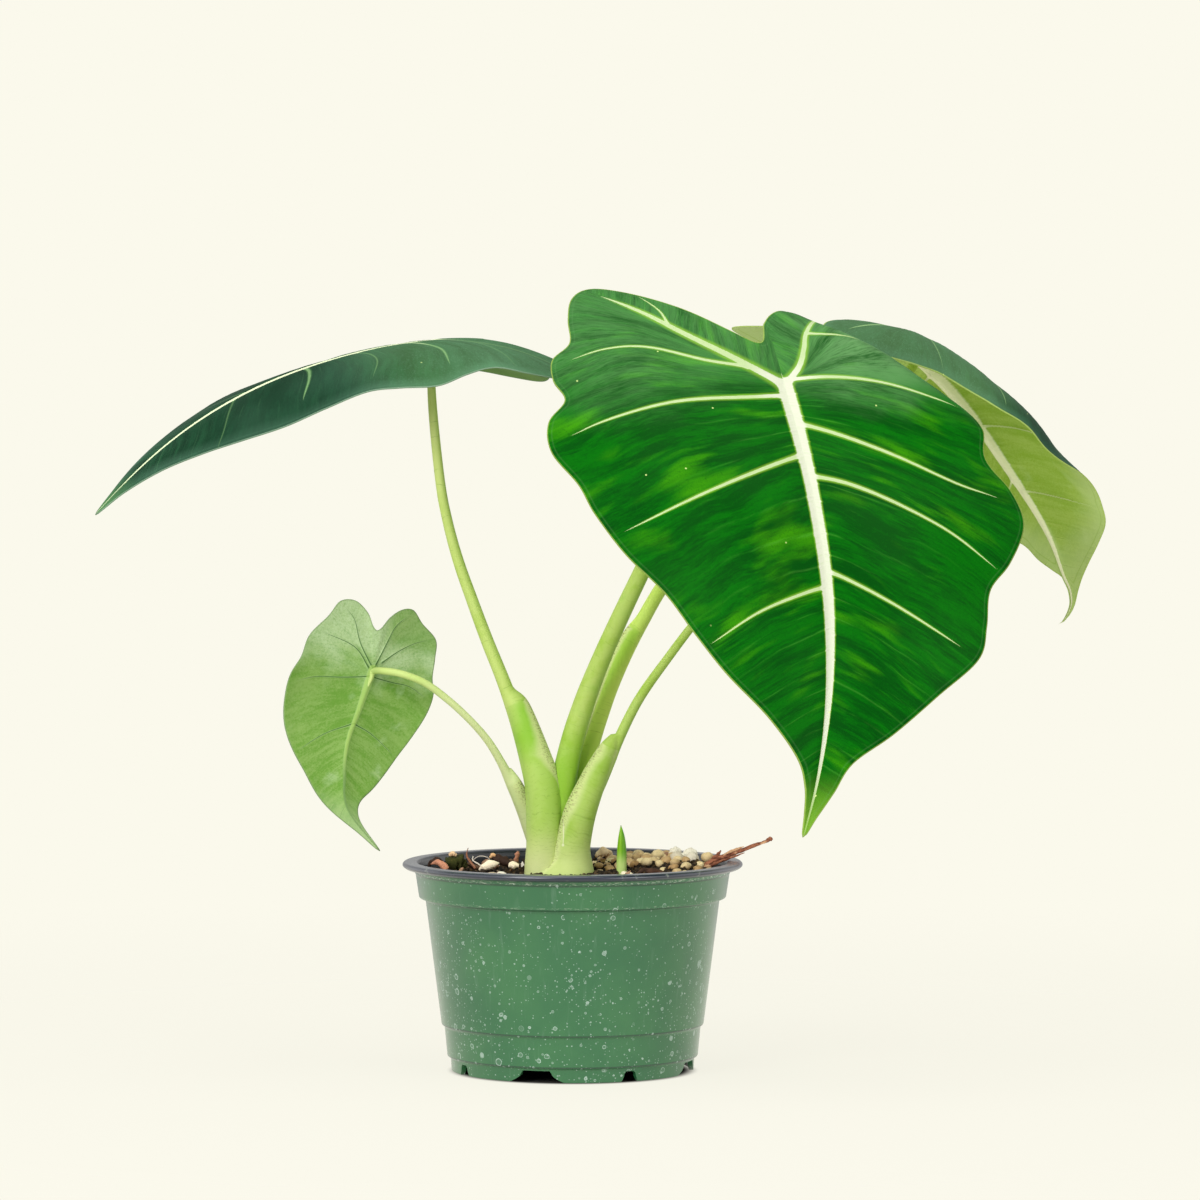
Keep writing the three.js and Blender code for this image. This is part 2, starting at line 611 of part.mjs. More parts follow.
function addPiece(name, geometry, finish) {
  geometry.computeVertexNormals();
  const mesh = new THREE.Mesh(geometry, new THREE.MeshStandardMaterial({ metalness: 0, ...finishes[finish] }));
  mesh.name = name;
  plant.add(mesh);
}

const { done, inner } = makeStalks();
const shoot = taperedTube(shootStations, 8, 1);
const twig = taperedTube(twigStations, 6, 1);
const holes = inner
  .add(toSolid(taperedTube(shootStations, 8, 1, seatGap)))
  .add(toSolid(taperedTube(twigStations, 6, 1, seatGap)));

addPiece("pot", toGeometry(makePot()), "pot");
addPiece("soil", toGeometry(makeSoil(holes)), "soil");
addPiece("shoot", shoot, "shoot");
addPiece("twig", twig, "twig");
for (const name of Object.keys(stalks)) addPiece(`petiole_${name}`, toGeometry(done[name]), "stalk");
const bladeFinish = { a: "bladeTop", b: "bladeDark", c: "bladePale", d: "bladePale", e: "bladeTop" };
for (const name of Object.keys(blades)) addPiece(`leaf_${name}`, makeBlade(blades[name]), bladeFinish[name]);

export default plant;
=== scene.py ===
import math

import bmesh
import bpy
import numpy as np
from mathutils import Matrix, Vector


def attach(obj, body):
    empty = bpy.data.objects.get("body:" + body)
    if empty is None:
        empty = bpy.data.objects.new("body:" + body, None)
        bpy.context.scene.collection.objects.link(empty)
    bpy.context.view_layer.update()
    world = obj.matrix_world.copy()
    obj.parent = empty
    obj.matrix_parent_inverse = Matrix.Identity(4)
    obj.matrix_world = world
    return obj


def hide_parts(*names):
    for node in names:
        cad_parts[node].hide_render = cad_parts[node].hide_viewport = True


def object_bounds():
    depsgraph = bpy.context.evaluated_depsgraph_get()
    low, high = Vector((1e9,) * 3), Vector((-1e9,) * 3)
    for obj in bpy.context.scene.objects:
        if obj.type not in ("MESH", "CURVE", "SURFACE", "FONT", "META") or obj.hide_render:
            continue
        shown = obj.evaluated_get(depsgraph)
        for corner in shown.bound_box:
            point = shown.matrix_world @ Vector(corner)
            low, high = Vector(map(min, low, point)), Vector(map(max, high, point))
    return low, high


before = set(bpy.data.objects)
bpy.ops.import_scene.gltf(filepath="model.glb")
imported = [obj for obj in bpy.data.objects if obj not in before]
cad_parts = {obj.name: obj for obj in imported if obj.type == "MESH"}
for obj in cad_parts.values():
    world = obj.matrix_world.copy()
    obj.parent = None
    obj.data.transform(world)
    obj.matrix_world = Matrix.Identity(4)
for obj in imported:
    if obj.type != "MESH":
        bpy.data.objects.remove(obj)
cadBox = [list(corner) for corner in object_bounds()]
print("frame loaded:", len(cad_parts), "nodes")

# Lengths in the dictionaries are millimetres unless they say metres, in the frame of the solids:
# origin under the middle of the pot, +Z up, the front along -Y.
mm = 0.001


# Smooth curve through [place, value] rows, flat past both ends.
def along(rows, place):
    table = np.array(rows, float)
    places, values = table[:, 0], table[:, 1]
    at = np.clip(place, places[0], places[-1])
    if len(places) == 2:
        return np.interp(at, places, values)
    spans = np.diff(places)
    steps = np.diff(values) / spans
    slopes = np.concatenate([steps[:1], steps[:1], steps[1:]])
    slopes[1:-1] = (steps[:-1] * spans[1:] + steps[1:] * spans[:-1]) / (spans[:-1] + spans[1:])
    slopes[-1] = steps[-1]
    k = np.clip(np.searchsorted(places, at, side="right") - 1, 0, len(places) - 2)
    t = (at - places[k]) / spans[k]
    return ((2 * t**3 - 3 * t**2 + 1) * values[k] + (t**3 - 2 * t**2 + t) * spans[k] * slopes[k]
            + (3 * t**2 - 2 * t**3) * values[k + 1] + (t**3 - t**2) * spans[k] * slopes[k + 1])


# Points of a smooth curve through corners at the given places, where corner k is at place k.
def through(corners, places, closed=False):
    corners = np.array(corners, float)
    count = len(corners)
    if closed:
        k = np.floor(places).astype(int)
        four = [corners[(k + i) % count] for i in (-1, 0, 1, 2)]
    else:
        padded = np.vstack([2 * corners[0] - corners[1], corners, 2 * corners[-1] - corners[-2]])
        k = np.clip(np.floor(places).astype(int), 0, count - 2)
        four = [padded[k + i] for i in (0, 1, 2, 3)]
    t = (places - k)[:, None]
    a, b, c, d = four
    return 0.5 * (2 * b + (c - a) * t + (2 * a - 5 * b + 4 * c - d) * t**2
                  + (3 * b - a - 3 * c + d) * t**3)


def fadeTo(low, high, value):  # 0 at low, 1 at high, smooth between
    t = np.clip((value - low) / (high - low), 0, 1)
    return t * t * (3 - 2 * t)


# Uneven field over flat places, from seeded plane waves about one size long.
def unevenness(x, y, size, seed, waves=22):
    rng = np.random.default_rng(seed)
    total = np.zeros(np.shape(x))
    for turn, phase, stretch in rng.random((waves, 3)):
        length = size * (0.6 + 0.9 * stretch)
        heading = 2 * math.pi * turn
        across = x * math.cos(heading) + y * math.sin(heading)
        total += np.sin(across * 2 * math.pi / length + phase * 6.28)
    return total / math.sqrt(waves / 2)


# A plain mesh object from points in millimetres, kept inside the solids' box.
def newPiece(name, points, faces, finish, attributes=None, smooth=True):
    low, high = (np.array(corner) for corner in cadBox)
    places = np.clip(np.asarray(points, float) * mm, low, high)
    mesh = bpy.data.meshes.new(name)
    mesh.from_pydata(places.tolist(), [], [list(map(int, face)) for face in faces])
    for key, values in (attributes or {}).items():
        values = np.asarray(values, np.float32)
        kind = "FLOAT" if values.ndim == 1 else "FLOAT_VECTOR"
        layer = mesh.attributes.new(key, kind, "POINT")
        layer.data.foreach_set("value" if kind == "FLOAT" else "vector", values.ravel())
    mesh.validate()
    mesh.update()
    if smooth:
        mesh.shade_smooth()
    piece = bpy.data.objects.new(name, mesh)
    bpy.context.scene.collection.objects.link(piece)
    mesh.materials.append(finish)
    return piece


# Grid faces of rings that close on themselves; the first ring is at start.
def ringFaces(rings, sectors, start=0, flip=False):
    ring, sector = np.meshgrid(np.arange(rings - 1), np.arange(sectors), indexing="ij")
    a = start + ring * sectors + sector
    b = start + ring * sectors + (sector + 1) % sectors
    quads = np.stack([a, b, b + sectors, a + sectors], -1).reshape(-1, 4)
    return (quads[:, ::-1] if flip else quads).tolist()


# Fans of triangles, as (pole, where its ring starts, whether it is turned over).
def fanFaces(sectors, *fans):
    faces = []
    for j in range(sectors):
        k = (j + 1) % sectors
        for pole, start, flip in fans:
            faces.append([pole, start + k, start + j] if flip else [pole, start + j, start + k])
    return faces


# Points and faces of a closed tube over a list of rings, with a pole at each end.
def closeTube(rings, poles):
    sectors = len(rings[0])
    count = len(rings) * sectors
    points = np.vstack([*rings, poles[:1], poles[-1:]])
    caps = fanFaces(sectors, (count, 0, True), (count + 1, count - sectors, False))
    return points, ringFaces(len(rings), sectors) + caps


def placesAlong(corners, stepsPerSpan):
    spans = len(corners) - 1
    return np.linspace(0, spans, spans * stepsPerSpan + 1)


# Centres and radii at places along a tube's [x, y, z, radius] stations.
def followStations(stations, places):
    stations = np.array(stations, float)
    return through(stations[:, :3], places), along(list(enumerate(stations[:, 3])), places)


# Two directions across a path at each of its points, carried along it without a twist.
def acrossPath(centres):
    ahead = np.gradient(centres, axis=0)
    ahead /= np.linalg.norm(ahead, axis=1)[:, None]
    side = np.array([0.0, 1.0, 0.0])
    pairs = []
    for step in ahead:
        side = side - side @ step * step
        side /= np.linalg.norm(side)
        pairs.append((side, np.cross(step, side)))
    return pairs


def ringAt(centre, side, up, angles, reach):
    aside, upward = reach * np.cos(angles), reach * np.sin(angles)
    return centre + np.outer(aside, side) + np.outer(upward, up)


def finishPiece(piece, slot, *nodes):
    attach(piece, "root")
    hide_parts(*nodes)


class Wire:
    def __init__(self, nodes, socket):
        self.nodes = nodes
        self.socket = socket

    def other(self, key):  # another output of the same node
        return Wire(self.nodes, self.socket.node.outputs[key])

    def math(self, operation, *others):
        sockets = dict(enumerate((self, *others)))
        return self.nodes.add("ShaderNodeMath", {"operation": operation}, sockets)

    def __add__(self, other):
        return self.math("ADD", other)

    def __radd__(self, other):
        return self.math("ADD", other)

    def __sub__(self, other):
        return self.math("SUBTRACT", other)

    def __rsub__(self, other):
        return self.nodes.add("ShaderNodeMath", {"operation": "SUBTRACT"}, {0: other, 1: self})

    def __mul__(self, other):
        return self.math("MULTIPLY", other)

    def __rmul__(self, other):
        return self.math("MULTIPLY", other)

    def __truediv__(self, other):
        return self.math("DIVIDE", other)

    def __pow__(self, other):
        return self.math("POWER", other)

    def __abs__(self):
        return self.math("ABSOLUTE")


class Nodes:
    def __init__(self, tree):
        self.tree = tree
        tree.nodes.clear()

    # Any node: its settings are set first, then its sockets get values or links.
    def add(self, kind, settings=None, sockets=None, out=0):
        made = self.tree.nodes.new(kind)
        for key, value in (settings or {}).items():
            if key == "stops":
                self.setStops(made.color_ramp, value)
            else:
                setattr(made, key, value)
        for key, value in (sockets or {}).items():
            if isinstance(value, Wire):
                self.tree.links.new(value.socket, made.inputs[key])
            elif value is not None:
                made.inputs[key].default_value = value
        return Wire(self, made.outputs[out]) if len(made.outputs) else None

    def setStops(self, ramp, stops):
        ramp.elements[0].position, ramp.elements[0].color = stops[0]
        ramp.elements[1].position, ramp.elements[1].color = stops[-1]
        for place, colour in stops[1:-1]:
            ramp.elements.new(place).color = colour

    def fade(self, value, low, high):
        return self.add("ShaderNodeMapRange", {"interpolation_type": "SMOOTHSTEP"},
                        {"Value": value, "From Min": low, "From Max": high})

    def mix(self, amount, one, other):
        return self.add("ShaderNodeMix", {"data_type": "RGBA"}, {0: amount, 6: one, 7: other}, 2)

    def here(self):  # a point's place in the frame, in metres
        return self.add("ShaderNodeTexCoord", out=3)

    def axes(self, place):
        split = self.add("ShaderNodeSeparateXYZ", None, {0: place})
        return [split.other(i) for i in range(3)]

    def red(self, colour):
        return self.add("ShaderNodeSeparateColor", None, {0: colour})

    def attribute(self, name):
        return self.add("ShaderNodeAttribute", {"attribute_name": name}, out=2)

    def vector(self, x, y, z):
        return self.add("ShaderNodeCombineXYZ", None, {"X": x, "Y": y, "Z": z})

    def noise(self, place, scale, detail=2.0, roughness=0.5, seed=0.0):
        return self.add("ShaderNodeTexNoise", {"noise_dimensions": "4D"}, {
            "Vector": place, "W": seed, "Scale": scale, "Detail": detail, "Roughness": roughness})

    def bump(self, height, distance, strength):
        return self.add("ShaderNodeBump", None,
                        {"Height": height, "Distance": distance, "Strength": strength})


# Linear colour of a paint given as it looks on a screen, 0 to 255.
def paint(red, green, blue):
    return tuple(((c / 255 + 0.055) / 1.055) ** 2.4 if c > 10 else c / 255 / 12.92
                 for c in (red, green, blue)) + (1.0,)


def newFinish(name):
    material = bpy.data.materials.new(name)
    material.use_nodes = True
    return material, Nodes(material.node_tree)


def endFinish(nodes, colour, roughness, normal, **constants):
    sockets = {"Base Color": colour, "Roughness": roughness, "Normal": normal}
    sockets.update({key.replace("_", " "): value for key, value in constants.items()})
    shader = nodes.add("ShaderNodeBsdfPrincipled", None, sockets)
    nodes.add("ShaderNodeOutputMaterial", None, {"Surface": shader})


studio = {
    "camera": (12.9, -3143.6, 368.6),
    "pitch": 87.317,  # degrees from looking straight down
    "lens": 201.0,
    "backdrop": (251, 249, 236),
    "ambient": 0.5,
    "roomColour": (1, 0.99, 0.97, 1),
    "mirrored": (0.55, 1.7),  # how bright the room's front and sides look in glossy surfaces
    "sides": (0.3, 0.95),  # where the room's front turns into its sides
    "aim": (0, 0, 180),
    "lamps": {
        "key": {"place": (-1200, -2000, 1150), "size": 1100, "power": 42.0},
        "top": {"place": (-100, -300, 1900), "size": 1500, "power": 20.0},
        "fill": {"place": (1500, -1800, 500), "size": 1200, "power": 16.0}},
    "floor": {"radius": 2000, "corners": 96, "height": -0.4, "paper": (0.075, 0.073, 0.066, 1)},
    "glow": 0.892,  # how much of the floor's brightness is its own
    "shaded": (0.052, 0.060),  # metres from the middle where the floor under the pot is dark
    "fades": (0.25, 0.9),  # metres from the middle where the floor turns into the backdrop
}


def makeStudio(card):
    scene = bpy.context.scene
    lens = bpy.data.cameras.new("camera")
    lens.lens = card["lens"]
    lens.sensor_width = 36
    lens.clip_end = 20
    camera = bpy.data.objects.new("camera", lens)
    camera.location = [c * mm for c in card["camera"]]
    camera.rotation_euler = (math.radians(card["pitch"]), 0, 0)
    scene.collection.objects.link(camera)
    scene.camera = camera
    scene.view_settings.view_transform = "Standard"
    scene.view_settings.look = "None"

    for name, settings in card["lamps"].items():
        light = bpy.data.lights.new(name + "_light", "AREA")
        light.shape = "SQUARE"
        light.size = settings["size"] * mm
        light.energy = settings["power"]
        lamp = bpy.data.objects.new(name + "_light", light)
        lamp.location = [c * mm for c in settings["place"]]
        towards = Vector(card["aim"]) * mm - lamp.location
        lamp.rotation_euler = towards.to_track_quat("-Z", "Y").to_euler()
        scene.collection.objects.link(lamp)

    world = bpy.data.worlds.new("studio")
    world.use_nodes = True
    scene.world = world
    nodes = Nodes(world.node_tree)
    seen = nodes.add("ShaderNodeLightPath")
    mirrored = seen.other("Is Glossy Ray")
    backdrop = nodes.add("ShaderNodeBackground", None, {"Color": paint(*card["backdrop"]), "Strength": 1.0})
    heading = nodes.add("ShaderNodeSeparateXYZ", None, {0: nodes.add("ShaderNodeTexCoord")})
    front, sides = card["mirrored"]
    room = nodes.fade(abs(heading), *card["sides"]) * (sides - front) + front
    light = nodes.add("ShaderNodeBackground", None, {
        "Color": card["roomColour"],
        "Strength": mirrored * (room - card["ambient"]) + card["ambient"]})
    both = nodes.add("ShaderNodeMixShader", None, {0: seen, 1: light, 2: backdrop})
    nodes.add("ShaderNodeOutputWorld", None, {"Surface": both})

    # The floor is a wide disc that fades out into the backdrop. Its glow is cut away under the pot, which
    # paints shade there.
    disc = card["floor"]
    floorFinish, nodes = newFinish("floor_paper")
    far = nodes.add("ShaderNodeVectorMath", {"operation": "LENGTH"}, {0: nodes.here()}, 1)
    glow = nodes.add("ShaderNodeEmission", None, {
        "Color": paint(*card["backdrop"]), "Strength": nodes.fade(far, *card["shaded"]) * card["glow"]})
    paper = nodes.add("ShaderNodeBsdfDiffuse", None, {"Color": disc["paper"]})
    lit = nodes.add("ShaderNodeAddShader", None, {0: glow, 1: paper})
    clear = nodes.add("ShaderNodeBsdfTransparent")
    faded = nodes.add("ShaderNodeMixShader", None, {
        0: nodes.fade(far, *card["fades"]), 1: lit, 2: clear})
    nodes.add("ShaderNodeOutputMaterial", None, {"Surface": faded})
    rim = [Vector((disc["radius"] * math.cos(t), disc["radius"] * math.sin(t), disc["height"])) * mm
           for t in np.linspace(0, 2 * math.pi, disc["corners"], endpoint=False)]
    mesh = bpy.data.meshes.new("floor")
    mesh.from_pydata(rim, [], [list(range(disc["corners"]))])
    mesh.materials.append(floorFinish)
    floor = bpy.data.objects.new("floor", mesh)
    scene.collection.objects.link(floor)


makeStudio(studio)
print("studio set")


# Each blade is laid out flat, its stalk joining at the origin and its tip on +Y, and then shaped:
# dip turns the midrib down, drift moves it sideways, rise and bend shape each half, roll turns the
# far part under. Ribs run from the midrib outwards, as [from midrib, along], tip first; the last on
# each side runs into the back lobe. half is half a rib's width where it starts, and shows is how
# clearly it stands out.
blades = {
    "a": {
        "joint": (98.6, -38, 322.8), "along": (0.17, -0.6, -0.78), "faces": (0.24, -0.76, 0.6),
        "dip": [[-110, -24], [-40, -14], [0, 0], [60, 12], [120, 20], [180, 24], [260, 26]],
        "drift": [[-100, 0], [0, 0], [60, -4], [120, -5], [160, -1], [200, 8], [221, 15]],
        "riseLeft": [[-110, 14], [0, 10], [150, 12], [260, 25]],
        "riseRight": [[-110, 14], [0, 10], [150, 12], [260, 25]],
        "bendLeft": [[-110, 0.006], [0, 0.0045], [100, 0.0045], [200, 0.004], [260, 0.002]],
        "bendRight": [[-110, 0.006], [0, 0.0045], [100, 0.004], [200, 0.004], [260, 0.002]],
        "roll": {"through": (-32, -24), "towards": 232, "radius": 15, "most": 110},
        "outline": [
            [6, -26], [20, -32], [42, -48], [65, -62], [80, -67], [90, -62], [95, -48], [98, -30],
            [108, -20], [110, -8], [107, 4], [117, 16], [119, 32], [110, 50], [105, 66], [94, 88],
            [78, 108], [65, 128], [50, 148], [29, 168], [12, 186], [6, 198], [3, 210], [0, 221],
            [-4, 212], [-9, 201], [-15, 188], [-32, 175], [-52, 157], [-71, 140], [-76, 124], [-80, 106],
            [-92, 92], [-103, 72], [-101, 54], [-91, 38], [-93, 22], [-86, 6], [-82, -12], [-84, -32],
            [-78, -52], [-64, -66], [-46, -68], [-26, -60], [-8, -50], [0, -42]],
        "tip": 23, "waves": (1.2, 13), "sectors": 420, "rings": 100, "crowding": 1.0,
        "midrib": [
            [-20, 2.6], [0, 3.7], [50, 3.2], [100, 2.8], [148, 1.8], [180, 0.95], [205, 0.5], [221, 0.25]],
        "spacing": 34,
        "ribsLeft": [
            {"half": 0.8, "path": [[0, 104], [15, 109], [36, 118], [58, 132]]},
            {"half": 0.95, "path": [[0, 38], [20, 46], [52, 59], [80, 71], [92, 76]]},
            {"half": 1.0, "path": [[0, 6], [22, 9], [58, 12], [90, 19], [108, 25]]},
            {"half": 0.9, "path": [[17, -9], [38, -12], [64, -21], [82, -22], [99, -18]]},
            {"half": 2.3, "path": [[0, 0], [23, -14], [43, -28], [61, -45], [76, -59]]}],
        "ribsRight": [
            {"half": 0.8, "path": [[0, 96], [-13, 103], [-33, 115], [-62, 134]]},
            {"half": 0.95, "path": [[0, 49], [-17, 54], [-38, 64], [-63, 78], [-84, 95]]},
            {"half": 1.0, "path": [[0, 21], [-17, 28], [-43, 40], [-70, 53], [-91, 59]]},
            {"half": 1.0, "path": [[0, -3], [-25, -3], [-51, 1], [-82, 11]]},
            {"half": 1.6, "path": [[0, 0], [-9, -10], [-14, -21], [-18, -32], [-30, -50]]}],
        "branches": [
            {"half": 0.5, "path": [[50, -36], [52, -45], [59, -57]]},
            {"half": 0.6, "path": [[-18, -31], [-29, -29], [-42, -27]]}],
    },
    "b": {
        "joint": (-67.2, 15, 343.7), "along": (-0.97, -0.23, 0), "faces": (0, 0, 1),
        "dip": [
            [-80, -26], [-60, -20], [-45, -14], [-30, -6], [-15, 0], [0, 5], [15, 8.5], [37, 14],
            [63, 19], [90, 26], [120, 34], [150, 42], [178, 47], [200, 48]],
        "drift": [[-100, 0], [190, 0]],
        "riseLeft": [[-80, -6], [20, -4], [60, -2], [90, 2], [130, 5], [160, 8], [200, 8]],
        "riseRight": [[-80, -8], [-20, -6], [20, -6], [60, -9], [200, -14]],
        "bendLeft": [[-80, 0.005], [200, 0.004]],
        "bendRight": [
            [-80, 0.003], [-30, 0.005], [20, 0.0065], [60, 0.008], [100, 0.008], [150, 0.012], [200, 0.012]],
        "outline": [
            [0, -26], [8, -34], [20, -56], [34, -70], [48, -70], [58, -56], [60, -38], [56, -22],
            [60, -4], [64, 12], [58, 30], [54, 48], [51, 68], [46, 88], [38, 108], [26, 128],
            [14, 150], [6, 168], [0, 184], [-7, 168], [-17, 150], [-30, 130], [-41, 110], [-48, 90],
            [-50, 68], [-52, 46], [-58, 30], [-64, 12], [-60, -4], [-56, -20], [-58, -36], [-54, -54],
            [-42, -68], [-28, -64], [-14, -48], [-4, -34]],
        "tip": 18, "waves": (1.0, 9), "sectors": 360, "rings": 84, "crowding": 1.0,
        "midrib": [[-20, 1.4], [0, 2.2], [60, 2.1], [120, 1.3], [184, 0.35]],
        "spacing": 26,
        "ribsLeft": [
            {"half": 0.5, "shows": 0.4, "path": [[0, 92], [12, 100], [26, 110], [38, 120]]},
            {"half": 0.6, "shows": 0.7, "path": [[0, 46], [16, 56], [34, 68], [50, 82]]},
            {"half": 0.65, "shows": 0.7, "path": [[0, 12], [18, 18], [38, 26], [58, 36]]},
            {"half": 0.6, "shows": 0.5, "path": [[6, -6], [24, -10], [42, -12], [58, -10]]},
            {"half": 1.0, "shows": 0.8, "path": [[0, 0], [14, -16], [26, -34], [38, -58]]}],
        "ribsRight": [
            {"half": 0.5, "shows": 0.22, "path": [[0, 98], [-12, 105], [-26, 114], [-36, 124]]},
            {"half": 0.75, "shows": 0.7, "path": [[0, 62], [-10, 62], [-22, 66], [-36, 74]]},
            {"half": 0.5, "shows": 0.3, "path": [[0, 38], [-12, 32], [-26, 32], [-42, 39]]},
            {"half": 0.85, "shows": 0.75, "path": [[0, 13], [-12, 5], [-26, 0], [-46, 1]]},
            {"half": 0.6, "shows": 0.2, "path": [[-6, -10], [-18, -22], [-34, -29], [-52, -32]]},
            {"half": 1.0, "shows": 0.3, "path": [[0, 0], [-12, -18], [-24, -38], [-36, -58]]}],
        "branches": [],
    },
    "c": {
        "joint": (-93.9, -10, 189.4), "along": (-0.1, -0.3, -0.95), "faces": (-0.38, 0.86, 0.3),
        "dip": [[-40, -16], [0, 0], [40, 10], [70, 6], [110, -14]],
        "drift": [[-60, 0], [0, 0], [20, -5], [40, -11], [55, -12], [75, -7], [84, 4], [90, 12]],
        "riseLeft": [[-40, 12], [0, 10], [110, 22]],
        "riseRight": [[-40, 12], [0, 10], [110, 22]],
        "bendLeft": [[-40, 0.01], [110, 0.01]],
        "bendRight": [[-40, 0.01], [110, 0.01]],
        "outline": [
            [-1, -19], [4, -26], [10, -31], [16, -32], [22, -27], [30, -21], [31, -12], [32, -3],
            [35, 5], [35, 14], [33, 24], [30, 35], [24, 48], [17, 58], [10, 66], [6, 73],
            [3, 80], [0, 88], [-4, 80], [-12, 69], [-20, 57], [-30, 42], [-38, 26], [-41, 13],
            [-38, 2], [-36, -9], [-28, -20], [-23, -28], [-15, -30], [-8, -26], [-4, -20]],
        "tip": 17, "waves": (0.6, 9), "sectors": 280, "rings": 56, "crowding": 1.0,
        "midrib": [[-10, 1.2], [0, 1.8], [20, 1.2], [40, 0.75], [60, 0.45], [88, 0.2]],
        "ridge": 0.4, "spacing": 14,
        "ribsLeft": [
            {"half": 0.28, "path": [[0, 29], [10, 31], [21, 36], [27, 40]]},
            {"half": 0.3, "path": [[0, 4], [13, 4], [22, 4], [32, 8]]},
            {"half": 0.28, "path": [[4, -4], [10, -10], [18, -16], [26, -20]]},
            {"half": 0.34, "path": [[0, 0], [5, -16], [8, -23], [14, -29]]}],
        "ribsRight": [
            {"half": 0.28, "path": [[0, 29], [-10, 35], [-17, 41], [-24, 48]]},
            {"half": 0.3, "path": [[0, 4], [-13, 7], [-27, 10], [-37, 15]]},
            {"half": 0.28, "path": [[-2, 0], [-9, -7], [-16, -10], [-30, -12]]},
            {"half": 0.34, "path": [[0, 0], [-9, -11], [-14, -21], [-20, -26]]}],
        "branches": [],
    },
    "d": {
        "joint": (167.3, 90, 334.4), "along": (0.718, 0.322, -0.607), "faces": (0.308, 0.633, 0.702),
        "dip": [[-90, -44], [-60, -38], [-25, -24], [0, -4], [30, 13], [70, 25], [110, 29], [150, 33]],
        "drift": [[-100, 0], [60, -1], [115, 0], [130, -3], [139, -4], [145, -8], [149, -15], [151.5, -22]],
        "riseLeft": [[-90, 0], [20, 4], [50, 7], [90, 4], [150, 0]],
        "riseRight": [[-90, 25], [-30, 15], [20, 0], [150, 0]],
        "bendLeft": [
            [-90, 0.026], [0, 0.024], [50, 0.0185], [80, 0.0155], [110, 0.008], [130, 0.0066], [150, 0.005]],
        "bendRight": [[-90, 0.004], [0, 0.01], [60, 0.013], [150, 0.011]],
        "outline": [
            [-2, -24], [10, -44], [16, -68], [28, -88], [42, -86], [52, -68], [57, -42], [59, -20],
            [62, 0], [67, 20], [73, 36], [75, 52], [75, 66], [68, 80], [54, 93], [45, 106],
            [41, 116], [31, 123], [18, 130], [8, 136], [3, 142], [2, 148], [0, 151.5], [-2, 147],
            [-2, 140], [-1.5, 131], [-5.5, 125], [-12, 117], [-18, 106], [-34, 92], [-52, 72], [-62, 52],
            [-60, 30], [-56, 10], [-54, -12], [-56, -34], [-50, -62], [-40, -84], [-26, -80], [-14, -58],
            [-6, -38]],
        "tip": 22, "waves": (1.0, 9), "sectors": 380, "rings": 84, "crowding": 1.25,
        "midrib": [[-20, 2.4], [0, 3.4], [50, 2.7], [100, 1.7], [130, 0.8], [151, 0.2]],
        "spacing": 26,
        "ribsLeft": [
            {"half": 0.5, "shows": 0.6, "path": [[0, 84], [12, 91], [26, 99], [38, 106]]},
            {"half": 0.6, "shows": 0.6, "path": [[0, 46], [20, 55], [44, 66], [64, 76]]},
            {"half": 0.65, "shows": 0.6, "path": [[0, 12], [20, 18], [42, 26], [66, 34]]},
            {"half": 0.6, "shows": 0.6, "path": [[6, -8], [22, -14], [40, -18], [56, -18]]},
            {"half": 1.0, "path": [[0, 0], [14, -22], [24, -46], [32, -74]]}],
        "ribsRight": [
            {"half": 0.5, "shows": 0.6, "path": [[0, 76], [-12, 84], [-24, 91], [-36, 96]]},
            {"half": 0.6, "shows": 0.6, "path": [[0, 40], [-18, 50], [-38, 61], [-54, 70]]},
            {"half": 0.65, "shows": 0.6, "path": [[0, 10], [-18, 16], [-38, 24], [-58, 32]]},
            {"half": 0.6, "shows": 0.6, "path": [[-6, -8], [-20, -14], [-38, -18], [-54, -18]]},
            {"half": 1.0, "path": [[0, 0], [-12, -22], [-22, -46], [-30, -72]]}],
        "branches": [],
    },
    "e": {
        "joint": (130.3, 2, 268.2), "along": (0.35, -0.35, -0.87), "faces": (0.55, -0.45, 0.7),
        "dip": [[-40, -20], [0, 0], [40, 10], [110, 16]],
        "drift": [[-60, 0], [40, -2], [120, 0]],
        "riseLeft": [[-40, 12], [0, 10], [110, 22]],
        "riseRight": [[-40, 12], [0, 10], [110, 22]],
        "bendLeft": [[-40, 0.01], [110, 0.01]],
        "bendRight": [[-40, 0.01], [110, 0.01]],
        "outline": [
            [0, -15], [6, -24], [14, -32], [23, -32], [29, -22], [32, -8], [36, 8], [35, 26],
            [29, 46], [20, 64], [10, 80], [3, 92], [0, 106], [-6, 90], [-15, 74], [-26, 56],
            [-33, 38], [-36, 18], [-35, 2], [-31, -12], [-29, -26], [-20, -34], [-11, -28], [-5, -20]],
        "tip": 12, "waves": (0.8, 9), "sectors": 280, "rings": 56, "crowding": 1.0,
        "midrib": [[-10, 1.2], [0, 1.7], [40, 1.2], [80, 0.6], [106, 0.2]],
        "spacing": 16,
        "ribsLeft": [
            {"half": 0.4, "path": [[0, 44], [10, 49], [20, 56], [27, 63]]},
            {"half": 0.45, "path": [[0, 20], [12, 25], [24, 32], [33, 40]]},
            {"half": 0.4, "path": [[0, 2], [12, 5], [24, 9], [35, 15]]},
            {"half": 0.8, "path": [[0, 0], [8, -10], [15, -20], [20, -29]]}],
        "ribsRight": [
            {"half": 0.4, "path": [[0, 48], [-10, 53], [-20, 60], [-26, 66]]},
            {"half": 0.45, "path": [[0, 24], [-12, 29], [-24, 36], [-33, 44]]},
            {"half": 0.4, "path": [[0, 5], [-12, 8], [-24, 12], [-35, 18]]},
            {"half": 0.8, "path": [[0, 0], [-8, -10], [-14, -20], [-19, -30]]}],
        "branches": [],
    },
}

